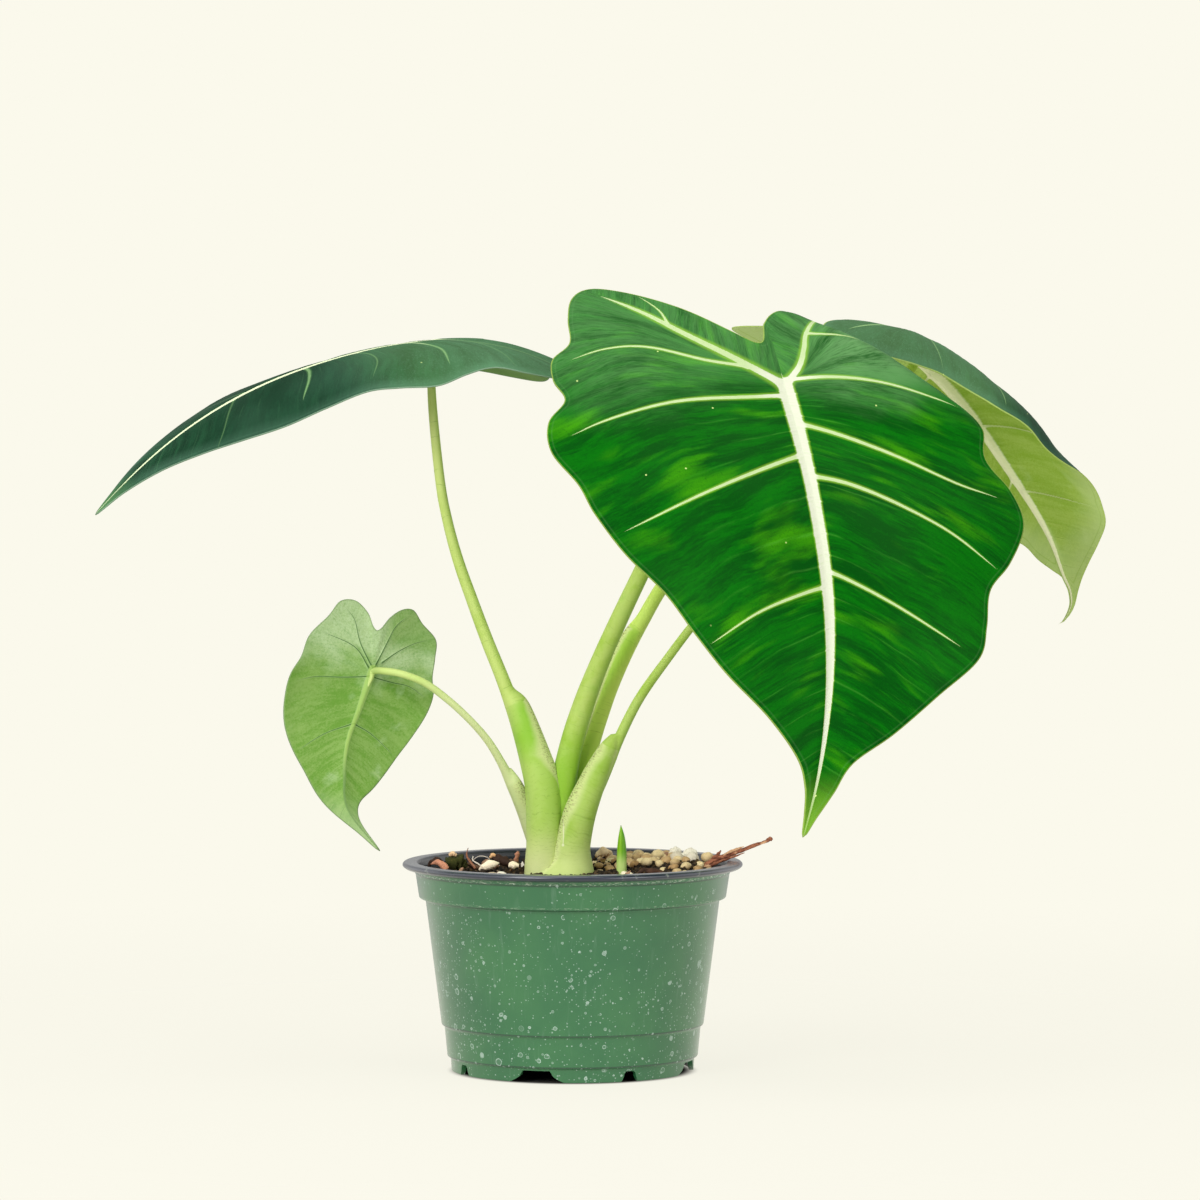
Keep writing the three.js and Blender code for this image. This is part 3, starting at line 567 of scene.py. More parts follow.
# How a blade's two sides stand off its flat form, in millimetres. swell is the share of the ribs'
# spacing over which the quilting rises beside a rib, and calm is how far from the margin it starts.
bladeForm = {
    "thickness": 0.9, "sunk": 0.18, "quilt": 0.45, "swell": 0.22, "calm": 6, "grain": 0.05, "lines": 9,
    "groove": 0.25, "ridge": 0.75, "sideRidge": 0.65, "inset": 0.15, "quiltBelow": 0.7,
    "margin": 0.5, "marginTop": -0.3, "marginUnder": -0.75,
}


# The midrib's curve in its own upright plane, as reach and depth at every place along it.
def spineOf(dip):
    places = np.linspace(dip[0][0], dip[-1][0], 401)
    slopes = np.radians(along(dip, places))
    middle = (slopes[1:] + slopes[:-1]) / 2
    step = places[1] - places[0]
    reach = np.concatenate([[0], np.cumsum(np.cos(middle) * step)])
    depth = np.concatenate([[0], np.cumsum(-np.sin(middle) * step)])
    return places, reach - np.interp(0, places, reach), depth - np.interp(0, places, depth), slopes


# Takes flat places on a blade, and heights over them, to places in space.
def shapeBlade(card, offset, place, height):
    offset, place, height = (np.asarray(v, float) for v in (offset, place, height))
    ahead = np.array(card["along"]) / np.linalg.norm(card["along"])
    face = np.array(card["faces"], float)
    face -= face @ ahead * ahead
    face /= np.linalg.norm(face)
    left = np.cross(ahead, face)
    isLeft = offset >= 0
    sign = np.where(isLeft, 1, -1)
    bend = np.where(isLeft, along(card["bendLeft"], place), along(card["bendRight"], place))
    rise = np.radians(np.where(isLeft, along(card["riseLeft"], place), along(card["riseRight"], place)))
    lean = bend * np.abs(offset) - rise
    across = sign * ((np.sin(lean) + np.sin(rise)) / bend + height * np.sin(lean))
    across = across + along(card["drift"], place)
    level = (np.cos(lean) - np.cos(rise)) / bend + height * np.cos(lean)
    forward = place.copy()
    if "roll" in card:
        roll = card["roll"]
        dx, dy = math.cos(math.radians(roll["towards"])), math.sin(math.radians(roll["towards"]))
        radius = roll["radius"]
        past = np.maximum((across - roll["through"][0]) * dx + (forward - roll["through"][1]) * dy, 0)
        turn = np.minimum(past / radius, math.radians(roll["most"]))
        rest = past - radius * turn
        moved = radius * np.sin(turn) + rest * np.cos(turn) + level * np.sin(turn)
        rolled = radius * (np.cos(turn) - 1) - rest * np.sin(turn) + level * np.cos(turn)
        level = np.where(past > 0, rolled, level)
        across = across + np.where(past > 0, moved - past, 0) * dx
        forward = forward + np.where(past > 0, moved - past, 0) * dy
    places, reaches, depths, slopes = spineOf(card["dip"])
    reach, depth, slope = (np.interp(forward, places, table) for table in (reaches, depths, slopes))
    return (np.array(card["joint"]) + np.outer(across, left) + np.outer(reach + level * np.sin(slope), ahead)
            + np.outer(depth + level * np.cos(slope), face))


# For flat places: signed distance to a rib, with the tip's side positive, and distance along it.
def besideRib(rib, offset, place, leftSide):
    path = through(rib["path"], placesAlong(rib["path"], 6))
    nearest = np.full(offset.shape, 1e9)
    signed = np.zeros(offset.shape)
    travelled = np.zeros(offset.shape)
    start = 0
    for k in range(len(path) - 1):
        run = path[k + 1] - path[k]
        length = np.linalg.norm(run)
        t = ((offset - path[k][0]) * run[0] + (place - path[k][1]) * run[1]) / length**2
        t = np.clip(t, -1e9 if k == 0 else 0, 1e9 if k == len(path) - 2 else 1)
        gapX = offset - path[k][0] - run[0] * t
        gapY = place - path[k][1] - run[1] * t
        gap = np.hypot(gapX, gapY)
        nearer = gap < nearest
        nearest = np.where(nearer, gap, nearest)
        signed = np.where(nearer, gap * np.sign(run[0] * gapY - run[1] * gapX + 1e-12), signed)
        travelled = np.where(nearer, start + t * length, travelled)
        start += length
    return signed * (1 if leftSide else -1), travelled, start


# A rib's half width falls to a share of what it starts with, and flares where it leaves the
# midrib. far stands for a place that is in no rib's reach, and otherSide keeps the two halves'
# fine veins apart.
ribForm = {"atEnd": 0.2, "taper": 0.7, "flare": 0.7, "flareLength": 2.5, "far": 8.0, "otherSide": 20}


# What the finish and the relief of a blade need at each flat place, and how far it is from a rib.
def ribFields(card, offset, place):
    fields = {}
    groups = {"ribsOdd": [], "ribsEven": [], "ribsSmall": []}
    nearestAny = np.abs(offset)
    flow = np.zeros(offset.shape)
    outward = np.zeros(offset.shape)
    shows = np.ones(offset.shape)
    midHalf = along(card["midrib"], place)
    for side, ribs in ((1, card["ribsLeft"]), (-1, card["ribsRight"])):
        here = offset >= 0 if side > 0 else offset < 0
        behind = np.zeros(offset.shape, int)
        rows = []
        for i, rib in enumerate(ribs):
            signed, travelled, length = besideRib(rib, offset, place, side > 0)
            rows.append((signed, travelled, length))
            behind += signed < 0
            groups["ribsEven" if i % 2 == 0 else "ribsOdd"].append((here, rib, signed, travelled, length))
        gaps = np.abs(np.array([row[0] for row in rows]))
        last = len(ribs) - 1
        before = np.take_along_axis(gaps, np.clip(behind - 1, 0, last)[None], 0)[0]
        after = np.take_along_axis(gaps, np.clip(behind, 0, last)[None], 0)[0]
        between = behind - 1 + before / (before + after + 1e-6)
        tipSide = -after / card["spacing"]
        lobeSide = last + (rows[-1][1] - 0.5 * before) / card["spacing"]
        sideFlow = np.where(behind == 0, tipSide, np.where(behind > last, lobeSide, between))
        flow = np.where(here, sideFlow + (0 if side > 0 else ribForm["otherSide"]), flow)
        outward = np.where(here, np.where(behind > last, before, np.abs(offset)), outward)
        nearestAny = np.where(here, np.minimum(nearestAny, gaps.min(0)), nearestAny)
        faint = 1 - np.array([rib.get("shows", 1) for rib in ribs])[gaps.argmin(0)]
        shows = np.where(here, 1 - faint * fadeTo(1, 2.2, np.abs(offset) / midHalf), shows)
    for rib in card["branches"]:
        signed, travelled, length = besideRib(rib, offset, place, rib["path"][0][0] > 0)
        here = offset >= 0 if rib["path"][0][0] > 0 else offset < 0
        groups["ribsSmall"].append((here, rib, signed, travelled, length))
    for name, rows in groups.items():
        ratio = np.full(offset.shape, ribForm["far"])
        sign = np.ones(offset.shape)
        strength = np.zeros(offset.shape)
        for here, rib, signed, travelled, length in rows:
            share = np.clip(travelled / length, 0, 1)
            flare = ribForm["flare"] * np.exp(-np.maximum(travelled, 0) / ribForm["flareLength"])
            tapered = (1 - share) ** ribForm["taper"] * (1 - ribForm["atEnd"]) + ribForm["atEnd"]
            half = rib["half"] * (tapered + flare)
            mine = np.abs(signed) / half
            closer = here & (mine < ratio)
            lasting = fadeTo(-1, 0, travelled) * (1 - fadeTo(0.8, 1.03, travelled / length))
            strength = np.where(closer, lasting, strength)
            ratio = np.where(closer, mine, ratio)
            sign = np.where(here, sign * -np.sign(signed + 1e-12), sign)
        fields[name] = sign * ratio
        fields[name + "Strength"] = strength
    ahead = np.where(place < 0, np.hypot(offset, place), np.abs(offset))
    fields["midrib"] = ahead / midHalf
    fields["shows"] = shows
    fields["flow"] = flow
    fields["outward"] = outward
    return fields, nearestAny


# A blade is a fan of rings from its joint to its margin. Its upper side is quilted between the ribs,
# and its under side carries them as ridges.
def makeBlade(name, finish):
    card, form = blades[name], bladeForm
    outline = card["outline"]
    dense = np.linspace(0, len(outline), 4000, endpoint=False)
    curve = through(outline, dense, True)
    lengths = np.linalg.norm(np.roll(curve, -1, 0) - curve, axis=1)
    travelled = np.concatenate([[0], np.cumsum(lengths)])
    whole = travelled[-1]
    atTip = travelled[int(card["tip"] / len(outline) * 4000)]
    firstHalf = int(round(card["sectors"] * atTip / whole))
    stops = np.concatenate([np.linspace(0, atTip, firstHalf, endpoint=False),
                            np.linspace(atTip, whole, card["sectors"] - firstHalf, endpoint=False)])
    places = np.interp(stops, travelled, np.append(dense, len(outline)))
    sectors = card["sectors"]
    margin = through(outline, places, True)
    tangent = np.roll(margin, -1, 0) - np.roll(margin, 1, 0)
    tangent /= np.linalg.norm(tangent, axis=1)[:, None]
    marginReach = np.abs(margin[:, 0] * tangent[:, 1] - margin[:, 1] * tangent[:, 0])
    outs = 1 - (1 - np.arange(1, card["rings"] + 1) / card["rings"]) ** card["crowding"]
    offset = np.concatenate([[0], np.outer(outs, margin[:, 0]).ravel()])
    place = np.concatenate([[0], np.outer(outs, margin[:, 1]).ravel()])
    out = np.concatenate([[0], np.repeat(outs, sectors)])
    turn = np.concatenate([[0], np.tile(places / len(outline), card["rings"])])
    height, count = card["waves"]
    wave = height * np.abs(np.sin(2 * np.pi * turn)) * out**3 * np.sin(2 * np.pi * count * turn)
    fields, fromRib = ribFields(card, offset, place)
    fields["edge"] = np.concatenate([[99], np.outer(1 - outs, marginReach).ravel()])

    quilted = fadeTo(0, form["calm"], fields["edge"])
    mid = np.exp(-(fields["midrib"] / 1.1) ** 2)
    ridge = np.zeros(offset.shape)
    for key in ("ribsOdd", "ribsEven", "ribsSmall"):
        ridge = np.maximum(ridge, np.exp(-(fields[key] / 1.6) ** 2) * fields[key + "Strength"])
    midHalf = along(card["midrib"], place)
    quilt = form["quilt"] * (1 - np.exp(-(fromRib / (card["spacing"] * form["swell"])) ** 2)) * quilted
    grain = form["grain"] * np.sin(fields["flow"] * 2 * np.pi * form["lines"])
    grain = grain * quilted * fadeTo(0, form["calm"], fromRib)
    top = -form["sunk"] + quilt + grain - form["groove"] * mid * np.minimum(midHalf, 2)
    ridges = mid * midHalf + form["sideRidge"] * ridge * np.minimum(midHalf, 1.5)
    ridges = ridges * card.get("ridge", form["ridge"])
    under = -form["thickness"] + form["inset"] + quilt * form["quiltBelow"] + grain - ridges
    top = np.where(fields["edge"] < form["margin"], form["marginTop"], top)
    under = np.where(fields["edge"] < form["margin"], form["marginUnder"], under)

    points = np.vstack([shapeBlade(card, offset, place, top + wave),
                        shapeBlade(card, offset, place, under + wave)])
    half = len(offset)
    faces = ringFaces(card["rings"], sectors, 1, True)
    faces += ringFaces(card["rings"], sectors, 1 + half)
    faces += fanFaces(sectors, (0, 1, False), (half, half + 1, True))
    for j in range(sectors):
        near, after = (half - sectors + i for i in (j, (j + 1) % sectors))
        faces.append([near, half + near, half + after, after])
    attributes = {key: np.concatenate([values, values]) for key, values in fields.items()}
    attributes["upper"] = np.concatenate([np.ones(half), np.zeros(half)])
    attributes["flat"] = np.tile(np.stack([offset, place, np.zeros(half)], 1), (2, 1))
    return newPiece("blade_" + name, points, faces, finish, attributes)


# Colours of each blade's two sides. flecks is how much its lighter flecks show, the amount after sheen how
# strong the painted sheen of its fine hairs is, lobes how strong a painted highlight its left and right back
# lobes get, and tint how green its side ribs are. sheen is the colour of these painted sheens and
# highlights, and of the thin line inside the margin.
bladeColours = {
    "a": {"deep": (1, 68, 7), "middle": (4, 97, 6), "bright": (64, 148, 2), "flecks": 0.7,
          "rib": (204, 208, 186), "fringe": (138, 184, 56), "tint": 0.45, "sheen": (108, 154, 98),
          "hairSheen": 0.02, "vein": (84, 158, 58),
          "lobes": [0.34, 0.8], "margin": (150, 174, 84), "specular": 0.025,
          "under": (128, 168, 78), "underDeep": (98, 146, 62), "underRib": (206, 220, 156),
          "underPale": (176, 200, 140)},
    "b": {"deep": (6, 44, 24), "middle": (20, 66, 40), "bright": (52, 104, 66), "flecks": 0.3,
          "rib": (222, 232, 190), "fringe": (96, 146, 84), "tint": 0.85, "sheen": (88, 128, 104),
          "hairSheen": 0.2, "vein": (84, 130, 84),
          "lobes": [0.3, 0.3], "margin": (124, 150, 126), "specular": 0.05,
          "under": (118, 154, 76), "underDeep": (88, 130, 58), "underRib": (190, 208, 140),
          "underPale": (110, 142, 84)},
    "c": {"deep": (16, 88, 26), "middle": (32, 114, 36), "bright": (76, 146, 40), "flecks": 0.5,
          "rib": (214, 230, 170), "fringe": (130, 180, 80), "tint": 0.5, "sheen": (96, 150, 104),
          "hairSheen": 0.12, "vein": (110, 170, 84),
          "lobes": [0.3, 0.3], "margin": (118, 142, 96), "specular": 0.06,
          "under": (130, 162, 86), "underDeep": (98, 142, 54), "underRib": (152, 184, 92),
          "underPale": (184, 204, 160)},
    "d": {"deep": (6, 42, 22), "middle": (18, 66, 38), "bright": (48, 100, 52), "flecks": 0.3,
          "rib": (206, 226, 176), "fringe": (110, 158, 92), "tint": 0.7, "sheen": (84, 126, 102),
          "hairSheen": 0.25, "vein": (84, 134, 84),
          "lobes": [0.2, 0.2], "margin": (168, 190, 96), "specular": 0.04,
          "under": (172, 200, 92), "underDeep": (146, 182, 62), "underRib": (255, 255, 214),
          "underPale": (202, 222, 152)},
}
bladeColours["e"] = bladeColours["a"] | {
    "hairSheen": 0.08, "vein": (96, 168, 70), "lobes": [0.3, 0.3], "specular": 0.03}


def bladeFinish(name):
    card = bladeColours[name]
    colour = {key: paint(*value) for key, value in card.items() if isinstance(value, tuple)}
    finish, nodes = newFinish("blade_" + name)
    flow = nodes.attribute("flow")
    outward = nodes.attribute("outward")
    edge = nodes.attribute("edge")
    upper = nodes.fade(nodes.attribute("upper"), 0.35, 0.65)
    flat = nodes.add("ShaderNodeAttribute", {"attribute_name": "flat"}, out=1)
    flatX, flatY = nodes.axes(flat)[:2]
    size = 34 / blades[name]["spacing"]
    shows = nodes.attribute("shows")
    fromJoint = nodes.add("ShaderNodeVectorMath", {"operation": "LENGTH"}, {0: flat}, 1)
    tipPlace = max(corner[1] for corner in blades[name]["outline"])

    # Soft lanes run along the fine veins, from the midrib out, with narrow streaks in them.
    drift = nodes.noise(flat, 0.02 * size, 3.0)
    lane = flow * 30 + drift * 8
    wide = nodes.noise(nodes.vector(lane * 0.36, outward * 0.05 * size, 5.0), 0.42, 3.0, 0.5)
    narrow = nodes.noise(nodes.vector(lane * 1.3, outward * 0.11 * size, 1.0), 0.42, 4.0, 0.6)
    hair = nodes.noise(nodes.vector(lane * 4.5, outward * 0.3 * size, 9.0), 0.6, 3.0, 0.65)
    velvet = nodes.noise(flat, 1.1, 3.0, 0.75, seed=6.0)
    streaks = nodes.fade(wide * 0.42 + narrow * 0.33 + hair * 0.25, 0.42, 0.57)
    body = nodes.mix(streaks, colour["deep"], colour["middle"])
    patch = nodes.noise(nodes.vector(lane * 0.22, outward * 0.06 * size, 12.0), 0.42, 2.0, 0.5)
    glow = nodes.fade(patch * 0.6 + wide * 0.25 + narrow * 0.15, 0.51, 0.66)
    body = nodes.mix(glow * card["flecks"], body, colour["bright"])
    body = nodes.mix(nodes.fade(velvet, 0.48, 0.7) * 0.45, body, colour["deep"])
    body = nodes.mix(nodes.fade(velvet, 0.46, 0.3) * 0.4, body, colour["middle"])

    # Fine side veins, clearest near the midrib.
    sway = nodes.noise(nodes.vector(flow * 1.7, outward * 0.01, 2.0), 1.0, 1.0)
    comb = abs((flow * 4 + drift * 0.5 + sway * 1.1).math("FRACT") - 0.5)
    fine = nodes.fade(comb, 0.07, 0.0) * nodes.fade(outward, 80 / size, 3) * nodes.fade(narrow, 0.42, 0.62)
    body = nodes.mix(fine * 0.2, body, colour["vein"])
    beside = nodes.fade(comb, 0.22, 0.08) * nodes.fade(comb, 0.03, 0.09)
    body = nodes.mix(beside * 0.16, body, colour["deep"])

    # Painted sheen of fine hairs, patchy over the blade, and a stronger painted highlight on its back lobes.
    hairSheen = nodes.fade(nodes.noise(flat, 0.012 * size, 2.0, seed=3.0), 0.4, 0.7) * card["hairSheen"]
    lobes = nodes.fade(flatY + (drift - 0.5) * 60, 26 / size, -22 / size)
    share = nodes.fade(flatX, -4, -46) * (card["lobes"][1] - card["lobes"][0]) + card["lobes"][0]
    grainy = nodes.fade(wide * 0.5 + hair * 0.5, 0.26, 0.6)
    body = nodes.mix(hairSheen + lobes * grainy * share, body, colour["sheen"])
    # On b and d: painted sheen of fine hairs over the back of the blade, in specks and along the margin,
    # then painted shade across the middle of the blade and painted light in a lighter green near the joint.
    if name in "bd":
        hairs = nodes.fade(velvet, 0.5, 0.66) * nodes.fade(flatY + (drift - 0.5) * 90, 96 / size, -30 / size)
        body = nodes.mix(hairs * 0.5, body, colour["sheen"])
        specks = nodes.noise(flat, 2.6, 2.0, 0.7, seed=17.0)
        body = nodes.mix(nodes.fade(specks, 0.6, 0.72) * 0.3, body, colour["sheen"])
        body = nodes.mix(nodes.fade(edge, 9, 1) * 0.3, body, colour["sheen"])
        shade = nodes.fade(flatY, 30 / size, 90 / size) * nodes.fade(flatY, 200 / size, 150 / size)
        body = nodes.mix(shade * 0.5, body, colour["deep"])
        body = nodes.mix(nodes.fade(flatY, 76 / size, 12 / size) * 0.26, body, colour["fringe"])
    toTip = nodes.fade(flatY, tipPlace * 0.82, tipPlace * 0.93)
    body = nodes.mix(toTip * 0.5, body, colour["middle"])
    body = nodes.mix(nodes.fade(flatY, tipPlace * 0.85, tipPlace) * 0.6, body, colour["fringe"])

    # Ribs, melting into each other where they meet, with a feathered fringe.
    feather = (hair - 0.5) * 0.6
    teeth = nodes.fade(comb, 0.1, 0.0) * 0.1
    middle = nodes.attribute("midrib") + feather * 0.3 - teeth
    fringeMask = nodes.fade(middle, 1.3, 0.98)
    together = (middle * -4).math("EXPONENT")
    sideRibs = None
    for key in ("ribsOdd", "ribsEven", "ribsSmall"):
        ratio = abs(nodes.attribute(key)) + feather
        strength = nodes.attribute(key + "Strength")
        together = together + (ratio * -4).math("EXPONENT") * strength
        fringeMask = fringeMask.math("MAXIMUM", nodes.fade(ratio, 2.5, 0.9) * strength)
        core = nodes.fade(ratio, 1.3, 0.6) * strength
        sideRibs = core if sideRibs is None else sideRibs.math("MAXIMUM", core)
    ribs = nodes.fade((together + 1e-8).math("LOGARITHM", math.e) * -0.25, 1.04, 0.84) * shows
    ribs = ribs * (1 - nodes.fade(flatY, tipPlace * 0.9, tipPlace * 0.99) * 0.7)
    nearJoint = nodes.fade(fromJoint, 22 / size, 7 / size)
    white = nodes.fade(middle, 1.5, 0.9).math("MAXIMUM", nearJoint) * (1 - toTip)
    ribColour = nodes.mix(white, nodes.mix(card["tint"], colour["rib"], colour["fringe"]), colour["rib"])
    ribColour = nodes.mix(nodes.fade(hair, 0.45, 0.7) * 0.16, ribColour, colour["fringe"])
    fringeMask = fringeMask * shows
    body = nodes.mix(fringeMask * 0.6, body, colour["fringe"])
    body = nodes.mix(ribs * (0.8 if name in "bd" else 1.0), body, ribColour)
    if name == "b":
        body = nodes.mix(nodes.fade(middle, 1.2, 0.9) * (1 - toTip * 0.6), body, colour["rib"])

    # A thin line inside the margin, a pale margin, and a few pale specks.
    inner = nodes.fade(abs(edge - 2.2), 0.6, 0.0) * 0.1
    body = nodes.mix(inner, body, colour["sheen"])
    body = nodes.mix(nodes.fade(edge, 0.7, 0.25) * 0.8, body, colour["margin"])
    cell = nodes.add("ShaderNodeTexVoronoi", {"voronoi_dimensions": "2D"}, {"Vector": flat, "Scale": 0.05})
    specked = nodes.fade(cell, 0.028, 0.012) * nodes.fade(nodes.red(cell.other("Color")), 0.9, 0.92)
    body = nodes.mix(specked * 0.8, body, paint(206, 224, 140))

    # The under side is paler, with soft patches, and carries its ribs as ridges.
    patchy = nodes.fade(wide * 0.36 + narrow * 0.28 + velvet * 0.36, 0.4, 0.6)
    below = nodes.mix(patchy, colour["underDeep"], colour["under"])
    below = nodes.mix(nodes.fade(hair, 0.4, 0.7) * 0.2, below, colour["underDeep"])
    below = nodes.mix(fine * 0.4, below, colour["underDeep"])
    # A painted whitish sheen on the back lobes and in cloudy patches, broken up by the hairs' texture.
    cloud = nodes.noise(flat, 0.03 * size, 3.0, seed=14.0)
    pale = nodes.fade(flatY + (cloud - 0.5) * 110 / size, 26 / size, -34 / size).math(
        "MAXIMUM", nodes.fade(cloud, 0.58, 0.72) * 0.5)
    brushed = nodes.fade(velvet * 0.6 + hair * 0.4, 0.2, 0.6)
    calm = nodes.fade(flatX, 0, 8) * nodes.fade(flatY, -9, -18) if name == "c" else 0.0
    below = nodes.mix(pale * brushed * (0.75 - calm * 0.55), below, colour["underPale"])
    ridge = nodes.fade(middle, 1.25, 0.8)
    if name == "c":
        below = nodes.mix(fringeMask * 0.3, below, colour["underPale"])
        below = nodes.mix(nodes.fade(flatY, 60, 88) * 0.5, below, colour["underPale"])
        below = nodes.mix(sideRibs * 0.9, below, paint(58, 98, 40))
        ridge = ridge * nodes.fade(flatY, 62, 40) * 0.85
        groove = nodes.fade(middle, 1.6, 0.8) * nodes.fade(flatY, 40, 60)
        below = nodes.mix(groove * 0.6, below, paint(84, 122, 52))
    else:
        below = nodes.mix(nodes.fade(ribs, 0.2, 1.0) * 0.55, below, colour["underRib"])
    if name == "d":
        below = nodes.mix(nodes.fade(edge + (wide - 0.5) * 16, 24, 3) * 0.55, below, colour["underPale"])
        below = nodes.mix(nodes.fade(abs(edge - 3.2), 0.45, 0.1) * 0.4, below, colour["underDeep"])
    below = nodes.mix(ridge * nodes.fade(hair, 1.6, 0.2), below, colour["underRib"])
    below = nodes.mix(nodes.fade(edge, 0.7, 0.25) * 0.7, below, colour["margin"])

    relief = hair * 0.25 + narrow * 0.35 + fine * 0.8 + velvet * 0.25 - ribs * 0.4
    normal = nodes.bump(relief, 0.0004, 0.4)
    rough = 0.56 - ribs * 0.08 + (velvet - 0.5) * 0.2
    endFinish(nodes, nodes.mix(upper, below, body), rough, normal, Specular_IOR_Level=card["specular"])
    return finish


for bladeName in blades:
    blade = makeBlade(bladeName, bladeFinish(bladeName))
    finishPiece(blade, "blade_" + bladeName, "leaf_" + bladeName)
    print("blade", bladeName, len(blade.data.polygons), "faces")


# Each stalk and the sheath at its foot, as [x, y, z, radius]. margin is where the sheath's papery
# edge lies round the stalk, in degrees from the back by the left to the front, at each height, and
# papery is how wide its dry band is there. ending carries a stalk on along its blade's midrib:
# how far, its share of the stalk's radius, and how deep under the blade.
stemDepth = 84
stalks = {
    "a": {
        "stalk": [
            [-6.4, 0, stemDepth, 6.6], [-6, 0, 110, 6.2], [-4, -1, 135.5, 5.9], [0, -2, 155.5, 5.4],
            [6, -3, 174.5, 5], [13.3, -5, 193.3, 4.5], [21.7, -8, 212.3, 4.2], [30.5, -11, 231, 4],
            [41, -14.5, 252.5, 3.8], [55, -18, 276, 3.7], [70, -21, 297, 3.6], [84, -25, 311, 3.6]],
    },
    "b": {
        "stalk": [
            [-15.3, -4, stemDepth, 6.2], [-16, -3.5, 108, 5.7], [-17.2, -2, 131, 5], [-20.5, -1, 146, 4.4],
            [-26, 1, 165, 3.8], [-32.7, 2, 183.5, 3.2], [-40.2, 4, 202, 3], [-47.3, 6, 221, 2.8],
            [-54, 8, 240, 2.6], [-59, 10, 258.5, 2.4], [-62.4, 11, 277, 2.3], [-66, 14, 312, 2.1]],
        "sheath": [
            [-14.8, -5, stemDepth, 8], [-14.6, -5, 97, 7.9], [-13.4, -5, 113, 7.5], [-13.4, -4, 127.5, 7.8],
            [-14.8, -3, 138, 7.7], [-17.4, -2, 147.5, 7], [-23.3, 0, 165, 5.7], [-26.8, 1, 173, 4.8],
            [-29.7, 2, 178.5, 2.4]],
        "margin": [[84, 250], [130, 256], [180, 262]],
        "papery": [[84, 1.2], [130, 1.4], [140, 6], [149, 10.5], [160, 7.5], [170, 5.5], [178, 3]],
    },
    "c": {
        "stalk": [
            [-14, 8, stemDepth, 4.3], [-15.2, 8, 99, 4.2], [-21, 6, 117, 3.6], [-25.2, 3, 127, 3],
            [-29.4, 0, 136.5, 2.5], [-34, -4, 146, 2], [-40, -8, 156, 1.8], [-48, -13, 165.6, 1.7],
            [-58, -18, 175.3, 1.7], [-68.8, -22, 183.5, 1.7], [-79.5, -22, 187.7, 1.7],
            [-88, -19.5, 189, 1.7]],
        "sheath": [
            [-14, 8, stemDepth, 4.7], [-15.6, 8, 102, 4.6], [-20.3, 6, 117, 4.3], [-24, 4, 127, 4],
            [-27.6, 1, 135, 3.4], [-30, -1, 141, 1.5]],
        "margin": [[84, 246], [140, 256]],
        "papery": [[84, 3], [110, 5], [141, 5]],
        "ending": [[1.5, 5, 9.5], [0.85, 0.6, 0.25], [1.9, 1.5, 0.9]],
    },
    "d": {
        "stalk": [
            [-1.2, 5, stemDepth, 6.2], [-0.4, 5.5, 106, 5.5], [3.7, 8, 133.5, 4.4], [9.4, 12, 154.5, 3.8],
            [15.5, 16, 173, 3.6], [23.5, 20, 192, 3.5], [32.8, 25, 210, 3.4], [45, 31, 230, 3.2],
            [72, 43, 266, 3], [104, 58, 297, 2.8], [138, 73, 317, 2.7], [158, 82, 325, 2.6]],
        "sheath": [
            [-2, 4, stemDepth, 5], [-0.6, 5, 112, 5], [3.5, 7, 136, 4.6], [9.1, 10.5, 154.5, 4],
            [15.3, 14.5, 173, 3.8], [22, 19, 192, 3.6], [26, 21.5, 201, 3.4], [31.5, 25, 211.5, 1.2]],
        "margin": [[84, 112], [215, 104]],
        "papery": [[84, 3], [150, 3.2], [200, 4], [212, 3]],
    },
    "e": {
        "stalk": [
            [-0.3, -6, stemDepth, 7], [0.8, -6, 106, 6.6], [5.9, -6, 123, 4.6], [13.4, -5, 137, 3.2],
            [17.4, -5, 146, 2.8], [21.4, -4.5, 155.5, 2.5], [31, -3.5, 174.5, 2.3], [44, -2, 193, 2.1],
            [60, 0, 213.7, 2], [77, 2, 231.5, 1.9], [95, 4, 248, 1.8], [115, 5, 260, 1.8]],
        "sheath": [
            [-5, -5, stemDepth, 15.8], [-4.8, -5, 88, 15.6], [-3.4, -5, 93.5, 13.6], [-0.9, -5, 98.5, 10.2],
            [-0.2, -6, 105, 8.6], [1.2, -6.5, 111.5, 7.9], [3.8, -7, 122, 7.4], [9.3, -7, 136, 5.9],
            [14.2, -6.5, 146.5, 4.6], [17, -6, 152, 3.6], [19.7, -5.5, 157.5, 1.5]],
        "margin": [[84, 112], [100, 106], [130, 102], [160, 100]],
        "papery": [[84, 4], [100, 6], [125, 9], [150, 7], [157, 4]],
    },
}


# The sheath's edge stands up as a fine line, and its dry band as a low step.
stalkForm = {
    "sectors": 48, "stepsPerSpan": 14, "sheathSteps": 200, "edge": 0.4, "edgeWidth": 0.7, "band": 0.3,
    "away": 30,  # stands for a place far from the sheath's edge
}


